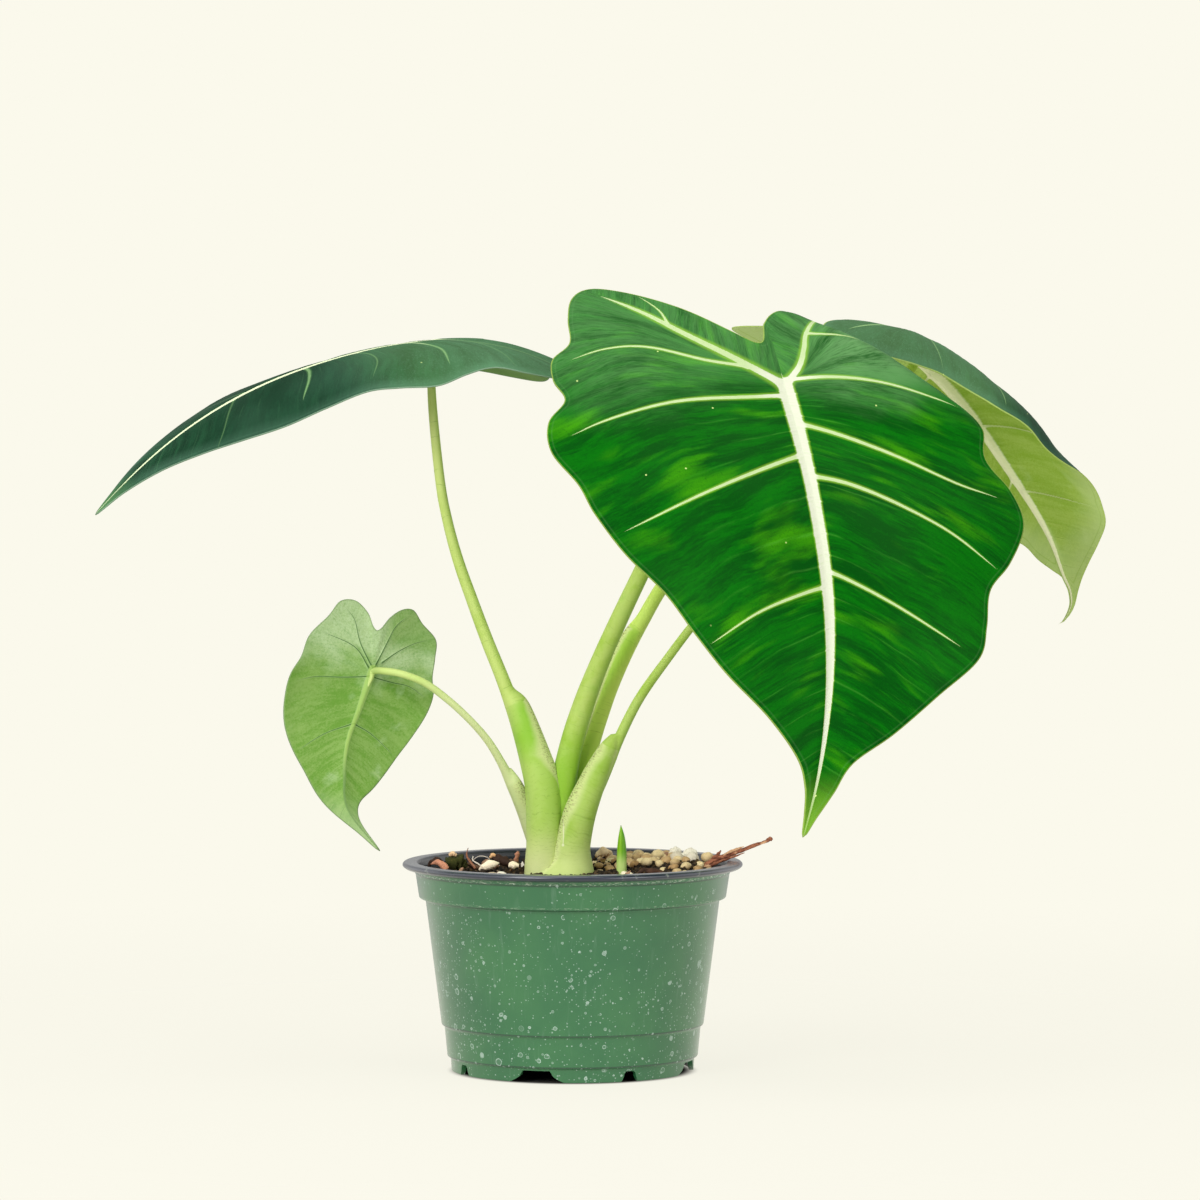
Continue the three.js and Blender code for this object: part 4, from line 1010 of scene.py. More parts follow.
# A stalk is a stack of rings, and ends on its blade's midrib. Round each ring, the surface is the
# farther out of stalk and sheath.
def makeStalk(name, finish):
    form = stalkForm
    card = stalks[name]
    run, share, drop = (np.array(card.get("ending", [[0], [0.75], [1.3]])[i], float) for i in range(3))
    ends = shapeBlade(blades[name], run * 0, run, -drop)
    stations = np.vstack([card["stalk"], np.column_stack([ends, card["stalk"][-1][3] * share])])
    sectors = form["sectors"]
    centres, radius = followStations(stations, placesAlong(stations, form["stepsPerSpan"]))
    angles = np.linspace(0, 2 * np.pi, sectors, endpoint=False)
    if "sheath" in card:
        sheath = card["sheath"]
        margin = np.radians(along(card["margin"], centres[:, 2]))
        sheathLine, sheathRadius = followStations(
            sheath, np.linspace(0, len(sheath) - 1, form["sheathSteps"]))
    rings, wing, lee, turn = [], [], [], []
    for i, (centre, (side, up)) in enumerate(zip(centres, acrossPath(centres))):
        reach = np.full(sectors, radius[i])
        strayed = np.full(sectors, float(form["away"]))
        if "sheath" in card and centre[2] <= sheath[-1][2]:
            at = [np.interp(centre[2], sheathLine[:, 2], sheathLine[:, axis]) for axis in range(3)]
            wide = np.interp(centre[2], sheathLine[:, 2], sheathRadius)
            gap = np.array(at) - centre
            toward = gap @ side * np.cos(angles) + gap @ up * np.sin(angles)
            apart = (gap @ side) ** 2 + (gap @ up) ** 2
            inside = wide**2 - apart + toward**2
            outer = np.where(inside > 0, toward + np.sqrt(np.maximum(inside, 0)), 0)
            fades = np.clip((sheath[-1][2] - centre[2]) / 6, 0, 1)
            reach = 0.5 * (reach + outer + np.sqrt((reach - outer) ** 2 + 0.16))
            strayed = ((angles - margin[i] + np.pi) % (2 * np.pi) - np.pi) * reach
            strayed = strayed if margin[i] < 3 else -strayed
            lip = form["edge"] * np.exp(-(strayed / form["edgeWidth"]) ** 2)
            lip = lip + form["band"] * fadeTo(-0.3, 0.4, strayed) * fadeTo(9, 5, strayed)
            reach = reach + lip * fades * fadeTo(0, 4.5, centre[2] - stemDepth)
            strayed = strayed + np.sign(strayed) * (1 - fades) * form["away"]
        rings.append(ringAt(centre, side, up, angles, reach))
        wing.append(strayed)
        # How much each point faces +x, away from the light, for the stalk's painted shade.
        lee.append(np.cos(angles) * side[0] + np.sin(angles) * up[0])
        turn.append(angles * reach)
    points, faces = closeTube(rings, centres)
    lengths = np.concatenate([[0], np.cumsum(np.linalg.norm(np.diff(centres, axis=0), axis=1))])
    attributes = {
        "wing": np.append(np.concatenate(wing), [form["away"]] * 2),
        "climb": np.append(np.repeat(lengths, sectors), [0, lengths[-1]]),
        "round": np.append(np.concatenate(turn), [0, 0]),
        "lee": np.append(np.concatenate(lee), [0, 0]),
    }
    return newPiece("stalk_" + name, points, faces, finish, attributes)


# side is the deeper green of the painted shade on a stalk's side away from the light.
stalkColours = {
    "pale": (184, 204, 111), "green": (159, 191, 75), "deep": (122, 182, 30), "papery": (208, 218, 150),
    "fleck": (104, 92, 44), "ring": (92, 138, 34), "foot": (212, 218, 156), "scar": (232, 232, 200),
    "side": (130, 178, 40),
}
# How deep green each stalk is just over the crown, how clear its rings are, how much of a paler
# tint it takes and between which heights that comes in, how green the painted shade makes its side
# away from the light, how pale its foot is, and how green its sheath is beside the dry band.
# The paler tint is the stalk's own on c, and painted light on b and d, where blades shade them.
stalkLooks = {
    "a": {"depth": 0.5, "rings": 0.28, "side": 0.35, "foot": 0.7, "beside": 0.0},
    "b": {"depth": 0.3, "rings": 0.42, "own": 0.6, "tintAndLight": (214, 222, 146), "tintAndLightFade": (236, 296),
          "side": 0.3, "foot": 0.8, "beside": 0.7},
    "c": {"depth": 0.0, "rings": 0.2, "own": 0.76, "tintAndLight": (214, 223, 166), "tintAndLightFade": (188, 170),
          "side": 0.0, "foot": 0.8, "beside": 0.1},
    "d": {"depth": 0.3, "rings": 0.4, "own": 0.8, "tintAndLight": (207, 233, 104), "tintAndLightFade": (226, 186),
          "side": 0.0, "foot": 0.6, "beside": 0.5},
    "e": {"depth": 0.15, "rings": 0.42, "side": 0.3, "foot": 0.5, "beside": 0.15},
}


def stalkFinish(name):
    colour = {key: paint(*value) for key, value in stalkColours.items()}
    looks = stalkLooks[name]
    finish, nodes = newFinish("stalk_" + name)
    place = nodes.here()
    x, y, z = (axis * 1000 for axis in nodes.axes(place))  # in millimetres
    climb = nodes.attribute("climb")
    turned = nodes.attribute("round")
    wing = nodes.attribute("wing")
    blotch = nodes.noise(place, 60.0, 4.0, 0.6, seed=2.0)
    grain = nodes.noise(place, 900.0, 3.0, 0.7, seed=5.0)
    body = nodes.mix(nodes.fade(blotch * 0.86 + grain * 0.14, 0.38, 0.62), colour["green"], colour["pale"])
    body = nodes.mix(nodes.fade(blotch, 0.5, 0.72) * 0.4, body, colour["deep"])
    # On b and d this paler tint is painted light, stronger where blades shade the stalk; on c it is the
    # stalk's own tint.
    if "tintAndLight" in looks:
        own = nodes.fade(z, *looks["tintAndLightFade"]) * looks["own"] * 0.6 + looks["own"] * 0.4
        body = nodes.mix(own, body, paint(*looks["tintAndLight"]))
    overCrown = nodes.fade(z, 172, 140) * nodes.fade(z, 100, 124)
    body = nodes.mix(overCrown * looks["depth"], body, colour["deep"])
    # Painted shade: the stalk's side facing +x, away from the light, turns deeper green.
    side = nodes.fade(nodes.attribute("lee") + (blotch - 0.5) * 1.2, 0.0, 0.8) * nodes.fade(z, 100, 130)
    body = nodes.mix(side * looks["side"], body, colour["side"])
    body = nodes.mix(nodes.fade(z + blotch * 12, 124, 98) * looks["foot"], body, colour["foot"])

    # Broken rings at three spacings, then the sheath's dry band with its flecks.
    wander = nodes.noise(nodes.vector(turned, climb * 0.7, 0.0), 0.11, 3.0, seed=4.0)
    rings = None
    for spacing, reach, top, seed in ((0.13, 0.035, 330, 6.0), (0.29, 0.06, 200, 7.0), (0.6, 0.1, 150, 8.0)):
        rungs = abs((climb * spacing + wander * spacing * 7 + seed * 0.37).math("FRACT") - 0.5)
        broken = nodes.fade(nodes.noise(nodes.vector(turned * 0.4, climb * 1.5, seed), 0.42, 2.0), 0.49, 0.6)
        rung = nodes.fade(rungs, reach, 0.0) * broken * nodes.fade(z, top, top - 30)
        rings = rung if rings is None else rings.math("MAXIMUM", rung * 0.75)
    body = nodes.mix(rings * nodes.fade(z, 88, 112) * looks["rings"], body, colour["ring"])
    relief = rings * -0.4 + nodes.noise(place, 60.0, 1.0, seed=2.0) * 0.3
    rough = 0.5 + (grain - 0.5) * 0.06
    if "papery" in stalks[name]:
        rows = stalks[name]["papery"]
        low, high, widest = rows[0][0], rows[-1][0], 12
        stops = [((height - low) / (high - low), (width / widest,) * 3 + (1,)) for height, width in rows]
        ramp = nodes.add("ShaderNodeValToRGB", {"stops": stops}, {0: (z - low) / (high - low)})
        width = nodes.red(ramp) * widest + (blotch - 0.5) * 4
        width = width.math("MAXIMUM", 1.0)
        band = nodes.fade(wing, width, width * 0.6) * nodes.fade(wing, -1.6, -0.4)
        near = nodes.fade(wing - width + (blotch - 0.5) * 3, 4.2, 0.8)
        near = near * nodes.fade(z, 0.4 * low + 0.6 * high, 0.2 * low + 0.8 * high)
        near = near * nodes.fade(z, high + 1, high - 9)
        body = nodes.mix(near * looks["beside"], body, colour["deep"])
        body = nodes.mix(band * 0.8, body, colour["papery"])
        crumbs = nodes.noise(nodes.vector(turned * 0.55, climb * 1.6, 3.0), 1.0, 3.0, 0.65)
        flecks = nodes.fade(crumbs, 0.51, 0.58) * nodes.fade(wing, width * 0.9, width * 0.2) * band
        body = nodes.mix(flecks * 0.7, body, colour["fleck"])
        body = nodes.mix(nodes.fade(abs(wing - 0.1), 0.55, 0.1) * 0.35, body, colour["fleck"])
        relief = relief + flecks * 0.7
        rough = rough + band * 0.2
    if name == "e":
        wavy = abs(x + 4.6 + (blotch - 0.5) * 3)
        scar = nodes.fade(wavy, 0.4, 0.1) * nodes.fade(z, 106.5, 108) * nodes.fade(z, 121, 114)
        knob = nodes.fade((wavy * wavy + (z - 107) * (z - 107)).math("SQRT"), 0.9, 0.5)
        body = nodes.mix(scar.math("MAXIMUM", knob) * nodes.fade(y, -6, -8) * 0.6, body, colour["scar"])
    normal = nodes.bump(relief, 0.0004, 0.22)
    endFinish(nodes, body, rough, normal, Specular_IOR_Level=0.12)
    return finish


for stalkName in stalks:
    stalk = makeStalk(stalkName, stalkFinish(stalkName))
    finishPiece(stalk, "stalk_green", "petiole_" + stalkName)
print("stalks made")


potCard = {
    "segments": 192,
    "outside": [
        [11, 0], [14, 6.2], [54.4, 6.2], [54.8, 0], [57, 0], [57.4, 6.3], [59, 6.9], [60.3, 20.8],
        [61.7, 21.8], [69.2, 80.6], [72.2, 81.6], [73.8, 92.4], [74.2, 93.2], [74.2, 94.4],
        [78.8, 95.4], [80, 96.4], [80, 97.4], [79.1, 98.3]],
    "inside": [
        [73.6, 98.3], [72.4, 97.3], [71.4, 92.4], [69.6, 82], [67.6, 81], [60.1, 22], [58.7, 21],
        [57.4, 8.2], [57, 7.8], [13, 7.8], [10, 1.6]],
    "rounding": 0.55,
    "floor": 1.6,  # the pad's thickness
    "cuts": 8,  # notches, and drain holes between them
    "wideArch": (27, 15, 5.6),  # each notch's width at its foot and top, and its height
    "narrowArch": (9, 6, 5),
    "archFrom": (-59.4, -51.4),
    "firstArch": -17,
    "drainRadius": 4,
    "drainReach": 38,
    "drainHeights": (10, 4),
    "drainCorners": 28,
    "sharp": 42,  # edges that turn more than this many degrees stay sharp
}


# Every corner of the profile is rounded a little.
def roundedProfile(corners, rounding, steps=4):
    corners = np.array(corners, float)
    profile = [corners[0]]
    for before, corner, after in zip(corners, corners[1:], corners[2:]):
        back, ahead = before - corner, after - corner
        backLength, aheadLength = np.linalg.norm(back), np.linalg.norm(ahead)
        first = corner + back / backLength * min(rounding, backLength * 0.45)
        last = corner + ahead / aheadLength * min(rounding, aheadLength * 0.45)
        for t in np.linspace(0, 1, steps + 1):
            profile.append((1 - t) ** 2 * first + 2 * t * (1 - t) * corner + t * t * last)
    profile.append(corners[-1])
    return np.array(profile)


def archOutline(bottom, top, height):
    shoulder = height * 0.75
    side = [(bottom / 2, -1), (bottom / 2, 0)]
    for t in np.linspace(0, 1, 9)[1:]:
        x = (1 - t) ** 2 * bottom / 2 + 2 * t * (1 - t) * top / 2 + t * t * top / 2
        side.append((x, 2 * t * (1 - t) * shoulder * 0.6 + t * t * shoulder))
    side.append((top / 2 - 1, height))
    return side + [(-x, z) for x, z in side[::-1]]


# Adds a closed prism between two loops of corners, given in millimetres.
def addPrism(cutters, first, second):
    first, second = ([cutters.verts.new([c * mm for c in corner]) for corner in loop]
                     for loop in (first, second))
    cutters.faces.new(first)
    cutters.faces.new(second[::-1])
    for j in range(len(first)):
        k = (j + 1) % len(first)
        cutters.faces.new((first[k], first[j], second[j], second[k]))


def makePot(card, finish):
    profile = roundedProfile(
        [[0, 0], *card["outside"], *card["inside"], [0, card["floor"]]], card["rounding"])
    segments = card["segments"]
    turns = np.linspace(0, 2 * np.pi, segments, endpoint=False)
    rings = [np.stack([r * np.cos(turns), r * np.sin(turns), np.full(segments, z)], 1)
             for r, z in profile[1:-1]]
    points, faces = closeTube(rings, [[0, 0, 0], [0, 0, card["floor"]]])
    pot = newPiece("pot_shell", points, faces, finish, smooth=False)

    cutters = bmesh.new()
    step = 2 * math.pi / card["cuts"]
    for i in range(card["cuts"]):
        outline = archOutline(*(card["narrowArch"] if i % 2 else card["wideArch"]))
        heading = math.radians(card["firstArch"]) + step * i
        cos, sin = math.cos(heading), math.sin(heading)
        addPrism(cutters, *([(x * cos - y * sin, x * sin + y * cos, z) for x, z in outline]
                            for y in card["archFrom"]))
        drainTurn = step * (i + 0.5)
        middle = Vector((math.cos(drainTurn), math.sin(drainTurn))) * card["drainReach"]
        circle = [middle + Vector((math.cos(t), math.sin(t))) * card["drainRadius"]
                  for t in np.linspace(0, 2 * math.pi, card["drainCorners"], endpoint=False)]
        addPrism(cutters, *([(*corner, z) for corner in circle] for z in card["drainHeights"]))
    bmesh.ops.recalc_face_normals(cutters, faces=cutters.faces[:])
    cutterMesh = bpy.data.meshes.new("pot_cuts")
    cutters.to_mesh(cutterMesh)
    cutters.free()
    cutter = bpy.data.objects.new("pot_cuts", cutterMesh)
    bpy.context.scene.collection.objects.link(cutter)
    cut = pot.modifiers.new("cuts", "BOOLEAN")
    cut.operation = "DIFFERENCE"
    cut.solver = "EXACT"
    cut.object = cutter
    graph = bpy.context.evaluated_depsgraph_get()
    whole = bpy.data.meshes.new_from_object(pot.evaluated_get(graph))
    pot.modifiers.clear()
    pot.data = whole
    pot.data.materials.clear()
    pot.data.materials.append(finish)
    bpy.data.objects.remove(cutter)
    pot.data.shade_smooth()
    pot.data.set_sharp_from_angle(angle=math.radians(card["sharp"]))
    return pot


# The dark lines at the profile's steps are painted shade, and the grey on the lip's top edge a painted
# highlight.
potColours = {
    "green": (36, 96, 58), "warm": (52, 110, 64), "ledgeShade": (20, 56, 38), "inside": (10, 18, 26),
    "lip": (24, 31, 48), "rimHighlight": (108, 116, 124), "lime": (212, 230, 222), "residue": (196, 206, 186),
}


def potFinish():
    colour = {key: paint(*value) for key, value in potColours.items()}
    finish, nodes = newFinish("pot_plastic")
    place = nodes.here()
    x, y, z = (axis * 1000 for axis in nodes.axes(place))  # in millimetres
    reach = (x * x + y * y).math("SQRT")

    # The middle of the wall at each height parts the pot's inside from its outside.
    middleOfWall = [(0, 54), (6, 54), (6.6, 58.2), (20.8, 59.5), (21.8, 60.9), (80.6, 68.4), (81.7, 70.5),
                    (92.4, 72.6), (94.8, 73.2), (100, 73.4)]
    stops = [(height / 100, ((r - 50) / 40,) * 3 + (1,)) for height, r in middleOfWall]
    ramp = nodes.add("ShaderNodeValToRGB", {"stops": stops}, {0: z / 100})
    wall = nodes.red(ramp) * 40 + 50
    inner = nodes.fade(reach - wall, 0.1, -0.2)
    rimDark = nodes.fade(z + nodes.noise(place, 300.0, 2.0) * 0.4, 95.0, 95.35)

    mottle = nodes.noise(place, 22.0, 4.0, 0.6)
    body = nodes.mix(nodes.fade(mottle, 0.3, 0.75), colour["green"], colour["warm"])
    # Dark lines painted at the profile's steps, standing for the shade under each ledge.
    for height in (7.2, 22.0, 81.2, 92.9):
        body = nodes.mix(nodes.fade(abs(z - height), 0.6, 0.2) * 0.75, body, colour["ledgeShade"])
    scuff = nodes.noise(nodes.vector(x * 0.35, y * 0.35, z * 0.03), 1.0, 3.0, 0.7, seed=5.0)
    body = nodes.mix(nodes.fade(scuff, 0.55, 0.8) * 0.06, body, colour["lime"])

    # Dried drops: thin rings with a faint filling, then small specks, thicker low down. Each row is
    # the drops' scale, how many there are, how solid they are, how strongly they show, and a seed.
    crowd = nodes.noise(place, 28.0, 2.0, seed=7.0)
    lower = nodes.fade(z, 88, 52) * 0.5 + nodes.fade(crowd, 0.42, 0.6) * 0.6
    spots = None
    for size, keep, solid, strength, seed in (
            (150.0, 0.2, 0.1, 0.55, 1.0), (260.0, 0.3, 0.12, 0.6, 2.0), (450.0, 0.32, 0.4, 0.5, 3.0),
            (900.0, 0.4, 1.0, 0.42, 4.0)):
        moved = nodes.add("ShaderNodeVectorMath", {"operation": "ADD"},
                          {0: place, 1: (seed, seed * 2, seed * 3)})
        cell = nodes.add("ShaderNodeTexVoronoi", None, {"Vector": moved, "Scale": size})
        tint = nodes.red(cell.other("Color"))
        other, filling = tint.other(1), tint.other(2)
        present = nodes.fade(tint + (lower - 1) * 0.3, 1 - keep, 1 - keep + 0.03)
        radius = 0.1 + other * other * 0.24
        ragged = cell + (nodes.noise(place, size * 5, 2.0) - 0.5) * 0.14
        rim = nodes.fade(abs(ragged - radius), 0.045, 0.01)
        filled = nodes.fade(ragged, radius, radius * 0.7) * (solid + filling ** 4 * (1 - solid))
        spot = rim.math("MAXIMUM", filled) * present * strength
        spots = spot if spots is None else spots.math("MAXIMUM", spot)
    outer = (1 - inner) * (1 - rimDark)
    body = nodes.mix(spots * 0.8, body, colour["lime"])
    dash = nodes.noise(nodes.vector(x * 0.5, y * 0.5, z * 2.5), 1.0, 3.0, 0.7, seed=9.0)
    dash = nodes.fade(dash, 0.52, 0.63)
    step = nodes.fade(abs(z - 82.3), 0.6, 0.1) * 0.5
    under = nodes.fade(abs(z - 93.9), 1.1, 0.3).math("MAXIMUM", step)
    body = nodes.mix(dash * under * 0.8, body, colour["residue"])

    dark = nodes.mix(nodes.fade(z, 93.5, 96), colour["inside"], colour["lip"])
    # A painted highlight along the lip's top edge.
    dark = nodes.mix(nodes.fade(z + (mottle - 0.5) * 0.4, 97.8, 98.3) * 0.4, dark, colour["rimHighlight"])
    dust = nodes.fade(nodes.noise(place, 160.0, 4.0, 0.7, seed=12.0), 0.6, 0.72)
    dark = nodes.mix(dust * 0.3, dark, colour["residue"])
    dark = nodes.mix(inner * nodes.fade(z, 98.2, 97.2) * 0.8, dark, colour["inside"])
    final = nodes.mix(1 - outer, body, dark)
    rough = 0.3 + spots * 0.3 + (mottle - 0.5) * 0.12 + inner * (1 - rimDark) * 0.4
    coat = (1 - inner) * 0.5 + rimDark * 0.1
    relief = nodes.noise(place, 900.0, 3.0, 0.6) * 0.3 + spots * 0.5
    normal = nodes.bump(relief, 0.00015, 0.5)
    endFinish(nodes, final, rough, normal,
              Specular_IOR_Level=0.45, Coat_Weight=coat, Coat_Roughness=0.2)
    return finish


pot = makePot(potCard, potFinish())
finishPiece(pot, "pot_plastic", "pot")
print("pot made", len(pot.data.polygons))


soilCard = {
    "rim": 91.5, "sectors": 160, "rings": 54, "reach": 70.6, "heap": 3.0, "sunk": 0.4,
    "rough": [[0.7, 9, 3], [0.35, 3.2, 4]],  # height, size and seed of its unevenness
}


# How high the soil lies, by the same rule as its solid.
def soilHeight(x, y):
    fromWall = 1 - np.hypot(x, y) / 71
    swell = np.clip(fromWall * 5, 0, 1)
    uneven = np.sin(x * 0.21 + 1.3) * np.cos(y * 0.17) + 0.6 * np.sin(x * 0.43 - y * 0.37)
    return soilCard["rim"] + swell * (1.6 + 0.026 * x + 0.7 * uneven)


def makeSoilBed(card, finish):
    turns = np.linspace(0, 2 * np.pi, card["sectors"], endpoint=False)
    reaches = card["reach"] * (np.arange(1, card["rings"] + 1) / card["rings"]) ** 0.8
    x = np.append(0, np.outer(reaches, np.cos(turns)).ravel())
    y = np.append(0, np.outer(reaches, np.sin(turns)).ravel())
    calm = fadeTo(71, 64, np.hypot(x, y))
    heap = card["heap"] * fadeTo(6, 34, x) * fadeTo(-8, 22, y + 24 * fadeTo(30, 60, x))
    heap = heap * fadeTo(69, 54, np.hypot(x, y))
    rough = sum(height * unevenness(x, y, size, seed) for height, size, seed in card["rough"])
    z = soilHeight(x, y) + heap + calm * rough - card["sunk"]
    points = [np.stack([x, y, z], 1)]
    below = [[r - 0.5, h + 0.3] for r, h in potCard["inside"] if h < card["rim"]]
    for r, h in below:
        points.append(np.stack([r * np.cos(turns), r * np.sin(turns), np.full(len(turns), h)], 1))
    points.append([[0, 0, below[-1][1]]])
    points = np.vstack(points)
    rings = card["rings"] + len(below)
    faces = ringFaces(rings, card["sectors"], 1, True)
    last = 1 + (rings - 1) * card["sectors"]
    faces += fanFaces(card["sectors"], (0, 1, False), (len(points) - 1, last, True))
    topCount = len(x)
    x, y = points[:, 0], points[:, 1]
    far = np.hypot(x, y)
    clear = (np.arange(len(points)) < topCount) & (far < 68)
    clear &= (np.hypot(x + 6, y + 3) > 19) & (np.hypot(x - 23, y + 12) > 4)
    aside = clear * ((np.abs(x + 8) > 22) | (y > 0))
    attributes = {
        "pebbleZone": clear * (far < 66) * fadeTo(4, 16, x) * fadeTo(-4, 8, y + 34 * fadeTo(30, 60, x)),
        "barkZone": aside * (far < 64) * (0.2 + 0.8 * fadeTo(20, -10, x)),
        "perliteZone": aside * (far < 66) * (
            0.07 * (x < 0) + 0.93 * fadeTo(17, 9, np.hypot(x - 52, y - 14))),
        "anywhere": clear * 1.0,
    }
    return newPiece("soil_bed", points, faces, finish, attributes)


# Litter scattered over the bed: lumpy balls and slabs sunk a little into the soil, or thin arched
# roots.
def litterTree(name, rooted):
    tree = bpy.data.node_groups.new(name, "GeometryNodeTree")
    face = tree.interface
    face.new_socket("Bed", in_out="INPUT", socket_type="NodeSocketGeometry")
    names = {}
    for label, kind, start in (
            ("Zone", "NodeSocketString", ""), ("Apart", "NodeSocketFloat", 0.005),
            ("Density", "NodeSocketFloat", 20000.0), ("Smallest", "NodeSocketFloat", 0.002),
            ("Largest", "NodeSocketFloat", 0.003), ("Form", "NodeSocketVector", (1, 1, 1)),
            ("Tilt", "NodeSocketFloat", 0.4), ("Sunk", "NodeSocketFloat", 0.0),
            ("Lumps", "NodeSocketFloat", 0.0004), ("Lump size", "NodeSocketFloat", 300.0),
            ("Seed", "NodeSocketInt", 1), ("Finish", "NodeSocketMaterial", None),
            ("Smoothness", "NodeSocketInt", 2)):
        socket = face.new_socket(label, in_out="INPUT", socket_type=kind)
        if start is not None:
            socket.default_value = start
        names[label] = socket.identifier
    face.new_socket("Grains", in_out="OUTPUT", socket_type="NodeSocketGeometry")
    nodes = Nodes(tree)
    entry = nodes.add("NodeGroupInput").socket.node
    given = {socket.name: Wire(nodes, socket) for socket in entry.outputs if socket.name}

    def drawn(low, high, shift):  # a random value for each grain
        return nodes.add("FunctionNodeRandomValue", {"data_type": "FLOAT"},
                         {2: low, 3: high, "Seed": given["Seed"] + shift}, 1)

    zone = nodes.add("GeometryNodeInputNamedAttribute", {"data_type": "FLOAT"}, {"Name": given["Zone"]})
    spots = nodes.add("GeometryNodeDistributePointsOnFaces", {"distribute_method": "POISSON"}, {
        "Mesh": given["Bed"], "Distance Min": given["Apart"], "Density Max": given["Density"],
        "Density Factor": zone, "Seed": given["Seed"]})
    if rooted:
        arch = nodes.add("GeometryNodeCurveQuadraticBezier", None, {
            "Resolution": 9, "Start": (-1.0, 0.0, -0.2), "Middle": (0.2, 0.9, 1.1),
            "End": (1.0, -0.2, -0.3)})
        ring = nodes.add("GeometryNodeCurvePrimitiveCircle", None, {"Resolution": 5, "Radius": 0.075})
        shape = nodes.add("GeometryNodeCurveToMesh", None,
                          {"Curve": arch, "Profile Curve": ring, "Fill Caps": True})
    else:
        shape = nodes.add("GeometryNodeMeshIcoSphere", None,
                          {"Radius": 1.0, "Subdivisions": given["Smoothness"]})
    scale = nodes.add("ShaderNodeVectorMath", {"operation": "SCALE"}, {
        0: given["Form"], "Scale": drawn(given["Smallest"], given["Largest"], 3)})
    leanX, leanY = (drawn(given["Tilt"] * -1, given["Tilt"], shift) for shift in (5, 7))
    placed = nodes.add("GeometryNodeInstanceOnPoints", None, {
        "Points": spots, "Instance": shape, "Scale": scale,
        "Rotation": nodes.vector(leanX, leanY, drawn(0.0, 6.28, 9))})
    tinted = nodes.add("GeometryNodeStoreNamedAttribute", {"data_type": "FLOAT", "domain": "INSTANCE"},
                       {"Geometry": placed, "Name": "tint", "Value": drawn(0.0, 1.0, 11)})
    real = nodes.add("GeometryNodeRealizeInstances", None, {"Geometry": tinted})
    lumps = nodes.add("ShaderNodeTexNoise", None, {
        "Vector": nodes.add("GeometryNodeInputPosition"), "Scale": given["Lump size"], "Detail": 1.0}, 1)
    centred = nodes.add("ShaderNodeVectorMath", {"operation": "SUBTRACT"}, {0: lumps, 1: (0.5, 0.5, 0.5)})
    offset = nodes.add("ShaderNodeVectorMath", {"operation": "SCALE"},
                       {0: centred, "Scale": given["Lumps"] * 4})
    sunk = nodes.add("ShaderNodeVectorMath", {"operation": "SUBTRACT"},
                     {0: offset, 1: nodes.vector(0.0, 0.0, given["Sunk"])})
    moved = nodes.add("GeometryNodeSetPosition", None, {"Geometry": real, "Offset": sunk})
    dressed = nodes.add("GeometryNodeSetMaterial", None, {"Geometry": moved, "Material": given["Finish"]})
    nodes.add("NodeGroupOutput", None, {"Grains": dressed})
    return tree, names


def makeGrains(name, bed, tree, names, settings):
    layer = bed.modifiers.new(name, "NODES")
    layer.node_group = tree
    for key, value in settings.items():
        layer[names[key]] = value
    graph = bpy.context.evaluated_depsgraph_get()
    mesh = bpy.data.meshes.new_from_object(bed.evaluated_get(graph))
    bed.modifiers.clear()
    mesh.name = name
    mesh.shade_smooth()
    piece = bpy.data.objects.new(name, mesh)
    bpy.context.scene.collection.objects.link(piece)
    return piece


# A grain's finish: from dark to light by grain between two turns, with specks and a soft relief.
def grainFinish(name, light, dark, speck, scale, roughness, turns=(0.2, 0.9), relief=0.7):
    finish, nodes = newFinish(name)
    place = nodes.here()
    tint = nodes.attribute("tint")
    cloud = nodes.noise(place, scale * 0.4, 3.0)
    body = nodes.mix(nodes.fade(tint * 0.7 + cloud * 0.45, *turns), paint(*dark), paint(*light))
    grit = nodes.noise(place, scale * 2.2, 3.0, 0.7, seed=4.0)
    body = nodes.mix(nodes.fade(grit, 0.58, 0.7) * 0.6, body, paint(*speck))
    normal = nodes.bump(grit + cloud, 0.0004, relief)
    endFinish(nodes, body, roughness, normal, Specular_IOR_Level=0.3)
    return finish


def soilFinish():
    finish, nodes = newFinish("soil_mix")
    place = nodes.here()
    coarse = nodes.noise(place, 260.0, 4.0, 0.7)
    fine = nodes.noise(place, 900.0, 3.0, 0.7, seed=3.0)
    body = nodes.mix(nodes.fade(coarse, 0.35, 0.65), paint(20, 15, 10), paint(58, 42, 26))
    body = nodes.mix(nodes.fade(fine, 0.6, 0.72) * 0.6, body, paint(104, 80, 50))
    moss = nodes.fade(nodes.noise(place, 70.0, 3.0, seed=8.0), 0.6, 0.72)
    body = nodes.mix(moss * 0.35, body, paint(74, 78, 30))
    normal = nodes.bump(coarse * 0.7 + fine * 0.5, 0.0012, 0.8)
    endFinish(nodes, body, 0.92, normal, Specular_IOR_Level=0.25)
    return finish


bed = makeSoilBed(soilCard, soilFinish())
grainTree = litterTree("scatter_grains", False)
rootTree = litterTree("scatter_roots", True)
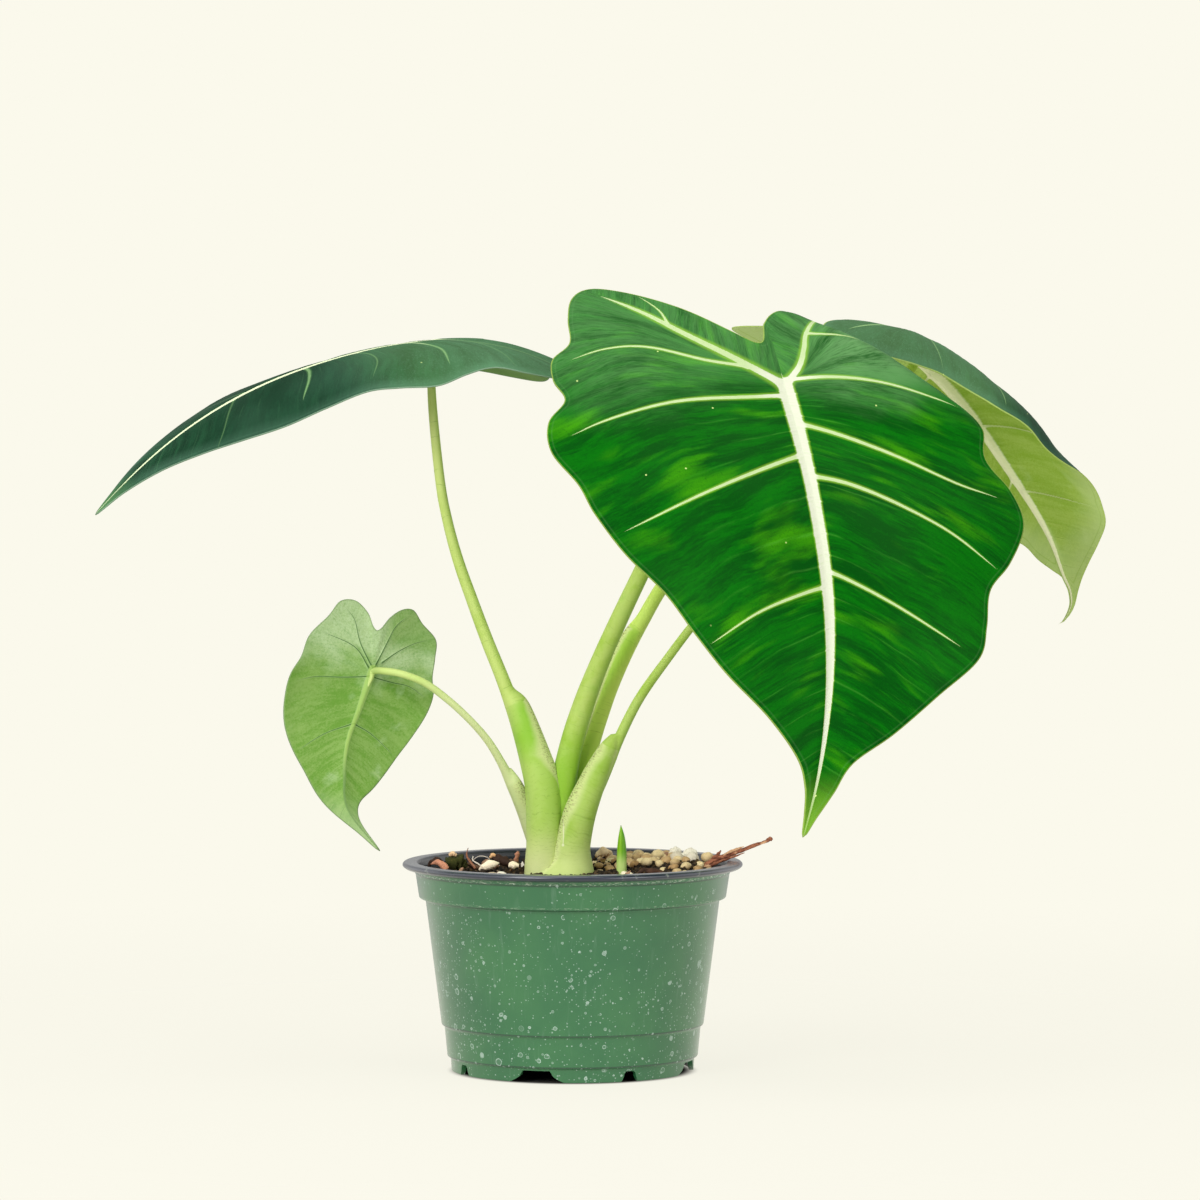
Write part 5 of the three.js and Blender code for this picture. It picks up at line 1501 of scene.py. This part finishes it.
# Lengths here are metres, as the tree takes them.
grainCards = {
    "soil_pebbles": {
        "Zone": "pebbleZone", "Apart": 0.0051, "Density": 60000.0, "Smallest": 0.0018, "Largest": 0.0029,
        "Form": (1.22, 1.08, 0.84), "Tilt": 0.35, "Sunk": -0.0009, "Lumps": 0.0001, "Lump size": 160.0,
        "Seed": 21, "Smoothness": 2,
        "Finish": grainFinish(
            "pebble_tan", (232, 210, 160), (170, 130, 80), (110, 78, 44), 420.0, 0.55, relief=0.2)},
    "soil_perlite": {
        "Zone": "perliteZone", "Apart": 0.0076, "Density": 26000.0, "Smallest": 0.0026, "Largest": 0.0042,
        "Form": (1.15, 1.0, 0.9), "Tilt": 1.2, "Sunk": -0.0016, "Lumps": 0.0005, "Lump size": 420.0,
        "Seed": 34, "Smoothness": 2,
        "Finish": grainFinish(
            "perlite_white", (240, 232, 214), (206, 194, 170), (150, 130, 98), 700.0, 0.85)},
    "soil_bark": {
        "Zone": "barkZone", "Apart": 0.0068, "Density": 26000.0, "Smallest": 0.0009, "Largest": 0.0024,
        "Form": (2.6, 1.0, 0.42), "Tilt": 0.8, "Sunk": -0.0012, "Lumps": 0.0006, "Lump size": 300.0,
        "Seed": 47, "Smoothness": 2,
        "Finish": grainFinish(
            "bark_chips", (182, 140, 110), (38, 27, 17), (20, 14, 10), 420.0, 0.85, (0.55, 0.95))},
    "soil_crumbs": {
        "Zone": "anywhere", "Apart": 0.0018, "Density": 400000.0, "Smallest": 0.0005, "Largest": 0.0012,
        "Form": (1.2, 1.0, 0.8), "Tilt": 1.5, "Sunk": -0.0003, "Lumps": 0.0003, "Lump size": 900.0,
        "Seed": 58, "Smoothness": 1,
        "Finish": grainFinish("soil_crumbs", (84, 66, 42), (22, 17, 11), (14, 10, 8), 800.0, 0.95)},
    "soil_roots": {
        "Zone": "barkZone", "Apart": 0.011, "Density": 9000.0, "Smallest": 0.0025, "Largest": 0.0058,
        "Form": (1.0, 1.0, 0.8), "Tilt": 0.5, "Sunk": 0.0002, "Lumps": 0.0003, "Lump size": 200.0,
        "Seed": 71,
        "Finish": grainFinish("root_pale", (214, 196, 168), (128, 92, 62), (90, 62, 40), 900.0, 0.8)},
}
for grainName, settings in grainCards.items():
    tree, names = rootTree if grainName == "soil_roots" else grainTree
    grains = makeGrains(grainName, bed, tree, names, settings)
    finishPiece(grains, "soil_mix", "soil")
    print(grainName, len(grains.data.polygons))
finishPiece(bed, "soil_mix", "soil")


# A closed tube along [x, y, z, radius] stations, lumpy by the share wobble.
def tubePiece(name, stations, sectors, stepsPerSpan, finish, wobble=0.0, seed=1, tint=0.5):
    centres, radius = followStations(stations, placesAlong(stations, stepsPerSpan))
    angles = np.linspace(0, 2 * np.pi, sectors, endpoint=False)
    rings = []
    for i, (centre, (side, up)) in enumerate(zip(centres, acrossPath(centres))):
        bumps = unevenness(np.full(sectors, i * 1.0), np.sin(angles) * 3 + np.cos(angles) * 2, 7, seed)
        rings.append(ringAt(centre, side, up, angles, radius[i] * (1 + wobble * bumps)))
    points, faces = closeTube(rings, centres)
    attributes = {"climb": np.append(np.repeat(np.linspace(0, 1, len(rings)), sectors), [0, 1]),
                  "tint": np.full(len(points), tint)}
    return newPiece(name, points, faces, finish, attributes)


litterFinishes = {
    "bark": grainFinish(
        "bark_pieces", (204, 140, 108), (50, 30, 17), (30, 18, 10), 420.0, 0.75, (0.35, 1.0)),
    "chip": grainFinish("pale_chips", (250, 236, 204), (222, 172, 118), (150, 108, 66), 620.0, 0.85),
    "moss": grainFinish("mossy_clump", (66, 70, 22), (20, 20, 9), (150, 122, 66), 620.0, 0.95),
    "root": grainFinish("single_roots", (216, 206, 190), (142, 88, 58), (96, 60, 40), 1200.0, 0.85),
}
# Single pieces of litter that stand out: finish, tint, how lumpy, and [x, y, z, radius] along each.
litterCards = {
    "bark_strip": ["bark", 0.9, 0.14, [
        [-66.4, -10, 97.6, 0.3], [-64.2, -11, 98.6, 1.0], [-61.4, -12, 98, 1.6], [-58.8, -13, 95.4, 1.4]]],
    "bark_curl": ["bark", 0.1, 0.16, [
        [-68, -6, 96.2, 0.4], [-66, -7, 98.4, 1.2], [-63, -8, 99.6, 1.1], [-61, -8, 98.8, 0.5]]],
    "moss_clump": ["moss", 0.6, 0.22, [
        [-60, 5, 95.5, 0.8], [-58, 5, 96.6, 3.2], [-55, 6, 97.2, 4.0], [-52, 7, 96.3, 3.0],
        [-50, 7, 95, 0.8]]],
    "moss_chip": ["chip", 0.3, 0.15, [
        [-58.2, 3, 100.6, 0.6], [-56.4, 3, 101.6, 1.2], [-54.8, 3, 100.6, 0.6]]],
    "thin_stick": ["root", 0.1, 0.1, [
        [-49.2, 4, 104.2, 0.14], [-49.9, 3, 101, 0.36], [-48.4, 1, 98.2, 0.55], [-45.6, -2, 95, 0.6]]],
    "white_root": ["root", 0.9, 0.0, [
        [-46.8, 2, 100.4, 0.22], [-47, 1, 98.6, 0.3], [-44, -1, 96.8, 0.32], [-41.2, -2, 94.6, 0.3]]],
    "root_arc": ["root", 0.8, 0.0, [
        [-47, 6, 98.2, 0.15], [-44, 5, 100.2, 0.2], [-40, 4, 99.6, 0.2], [-38.4, 4, 97, 0.15]]],
    "cream_chip": ["chip", 0.9, 0.12, [
        [-43.8, -14, 95.2, 0.4], [-41.4, -14, 96.8, 1.9], [-37.8, -14, 98, 1.9], [-34.4, -13.5, 98.6, 0.3]]],
    "wet_bark": ["bark", 0.12, 0.14, [
        [-38, -2, 100.6, 0.7], [-36, -3, 100, 1.9], [-32, -4, 98.4, 2.4], [-28.6, -5, 96.4, 1.4]]],
    "bark_tip": ["chip", 0.05, 0.1, [
        [-38.8, -3, 100.2, 0.6], [-37.6, -3.4, 101.4, 1.0], [-36.2, -3.6, 101.2, 0.6]]],
    "cream_bit": ["chip", 0.8, 0.14, [[-30, -9, 96.4, 0.7], [-28, -9, 97.2, 1.7], [-25.2, -9, 96.8, 0.9]]],
    "standing_chip": ["bark", 0.8, 0.14, [
        [-26.8, 8, 97.4, 1.1], [-26.2, 8, 100.4, 1.1], [-25.6, 8, 102.2, 0.6]]],
    "front_chip": ["chip", 0.95, 0.14, [
        [22.4, -40, 94.6, 0.7], [25, -40, 95.2, 2.0], [28.6, -40, 94.8, 0.7]]],
    "back_chip": ["chip", 0.5, 0.16, [
        [10.8, 38, 97.4, 0.8], [13.6, 40, 99.2, 2.0], [16.8, 42, 98.8, 1.6], [18.8, 42, 97.2, 0.5]]],
    "front_bark": ["bark", 0.3, 0.16, [
        [30, -30, 95, 0.6], [34, -28, 96.2, 1.6], [40, -27, 95.6, 1.2], [44, -28, 94.8, 0.4]]],
}
for k, (litterName, (kind, tint, wobble, stations)) in enumerate(litterCards.items()):
    piece = tubePiece(litterName, stations, 16, 7, litterFinishes[kind], wobble, 30 + k, tint)
    finishPiece(piece, "soil_mix", "soil")

# Single stones at the heap's top, as [finish, tint, how lumpy, x, y, z, radius].
stones = [
    ["soil_perlite", 0.95, 0.07, 48.7, 34, 99.6, 2.6], ["soil_perlite", 0.9, 0.07, 55.7, 26, 99.4, 3.0],
    ["soil_perlite", 0.8, 0.08, 52.1, 20, 97.9, 2.5], ["soil_pebbles", 0.6, 0.02, 63.6, 10, 99.2, 2.6],
    ["soil_pebbles", 0.4, 0.02, 44.2, 30, 98.4, 2.6], ["soil_pebbles", 0.8, 0.02, 48.2, 13, 97.4, 2.3],
    ["soil_pebbles", 0.5, 0.02, 39.6, 28, 97.8, 2.1], ["soil_pebbles", 0.7, 0.02, 34.9, 30, 97.5, 2.4],
    ["soil_pebbles", 0.3, 0.02, 29.6, 27, 97.2, 2.4]]
for k, (kind, tint, wobble, x, y, z, radius) in enumerate(stones):
    stations = [[x + radius * 1.2 * math.cos(t), y, z, radius * (0.04 + 0.92 * math.sin(t))]
                for t in np.linspace(math.pi, 0, 7)]
    stone = tubePiece("single_stone_%d" % (k + 1), stations, 18, 4,
                      grainCards[kind]["Finish"], wobble, 60 + k, tint)
    finishPiece(stone, "soil_mix", "soil")
print("litter placed:", len(litterCards) + len(stones), "single pieces")


# The young leaf's rolled spear: rows of [x, y, z, radius], and its colours from foot to point. Its darker
# green both streaks the ridges and paints shade on the spear's right half.
shootCard = {
    "stations": [
        [23, -12, 84, 2.3], [23, -12, 95, 2.4], [23.1, -12, 104.5, 2.2], [23, -12, 111, 1.45],
        [22.7, -12, 116.2, 0.12]],
    "foot": (186, 212, 120), "spear": (124, 178, 10), "streakAndShade": (70, 138, 2), "point": (108, 124, 30),
}


def shootFinish(card):
    finish, nodes = newFinish("shoot_green")
    place = nodes.here()
    climb = nodes.attribute("climb")
    stretched = nodes.add("ShaderNodeMapping", None, {"Vector": place, "Scale": (900, 900, 60)})
    ridges = nodes.noise(stretched, 1.0, 2.0)
    sideways = nodes.axes(place)[0] * 1000
    body = nodes.mix(nodes.fade(climb, 0.3, 0.52), paint(*card["foot"]), paint(*card["spear"]))
    # Painted shade: the spear's right half, away from the light, turns darker green, and darker streaks
    # follow its ridges.
    shaded = nodes.fade(sideways, 22.4, 23.6) * 0.6 + nodes.fade(ridges, 0.45, 0.7) * 0.4
    body = nodes.mix(shaded * nodes.fade(climb, 0.3, 0.5), body, paint(*card["streakAndShade"]))
    body = nodes.mix(nodes.fade(climb, 0.93, 1.0) * 0.6, body, paint(*card["point"]))
    normal = nodes.bump(ridges, 0.0003, 0.5)
    endFinish(nodes, body, 0.4, normal, Specular_IOR_Level=0.25)
    return finish


shoot = tubePiece("shoot_spear", shootCard["stations"], 32, 16, shootFinish(shootCard))
finishPiece(shoot, "shoot_green", "shoot")

# The dead twig: its stem, which lies on the lip, and the splinters and side twigs at its foot.
twigCard = {
    "stem": [
        [59, 2, 94, 0.8], [66, 5, 97.8, 1.2], [73, 8, 100.4, 1.25], [79, 10.5, 102.2, 1.0],
        [86, 13.5, 104.6, 0.8], [91, 15.5, 106.2, 0.75], [93.5, 16.5, 107.4, 1.15],
        [94.2, 16.8, 107.9, 0.5]],
    "splinters": [
        [[62, 1, 94.5, 0.5], [68, 3, 97.4, 0.7], [74, 5.6, 99.2, 0.5], [81, 9.4, 101.4, 0.2]],
        [[63, 4, 95.5, 0.8], [66, 5.4, 98.6, 1.0], [68.4, 6.2, 100.8, 0.9], [70, 6.4, 102.8, 0.3]],
        [[71, 6.4, 100.4, 0.3], [74, 7.6, 102, 0.65], [77.6, 9, 103.2, 0.6], [80.8, 10, 104.4, 0.15]],
        [[57, -3, 93.6, 0.5], [62, -1.6, 95.4, 0.8], [67, 0.6, 96.8, 0.7], [71, 2.4, 98.8, 0.2]],
        [[54, 5, 94, 0.6], [58, 8, 96.4, 0.6], [60, 12, 97.2, 0.4], [60.6, 16, 96.8, 0.15]]],
    "dark": (104, 58, 42), "light": (168, 108, 80), "wood": (222, 178, 136),
}


def twigFinish(card):
    finish, nodes = newFinish("twig_bark")
    place = nodes.here()
    grain = nodes.noise(nodes.add("ShaderNodeMapping", None, {
        "Vector": place, "Rotation": (0, 0.22, -0.37), "Scale": (90, 900, 900)}), 1.0, 3.0, 0.6)
    body = nodes.mix(nodes.fade(grain, 0.38, 0.62), paint(*card["dark"]), paint(*card["light"]))
    peeled = nodes.fade(nodes.noise(place, 130.0, 3.0, seed=6.0) + nodes.attribute("tint") - 0.5, 0.54, 0.6)
    body = nodes.mix(peeled * 0.7, body, paint(*card["wood"]))
    normal = nodes.bump(grain, 0.0002, 0.6)
    endFinish(nodes, body, 0.8, normal, Specular_IOR_Level=0.2)
    return finish


twigBark = twigFinish(twigCard)
twig = tubePiece("twig_stick", twigCard["stem"], 24, 10, twigBark, 0.12, 5)
finishPiece(twig, "twig_bark", "twig")
for i, rows in enumerate(twigCard["splinters"]):
    splinter = tubePiece("twig_splinter_%d" % (i + 1), rows, 12, 8, twigBark, 0.16, 9 + i,
                         0.5 + 0.14 * (i == 2))
    finishPiece(splinter, "twig_bark", "twig")
print("shoot and twig made")
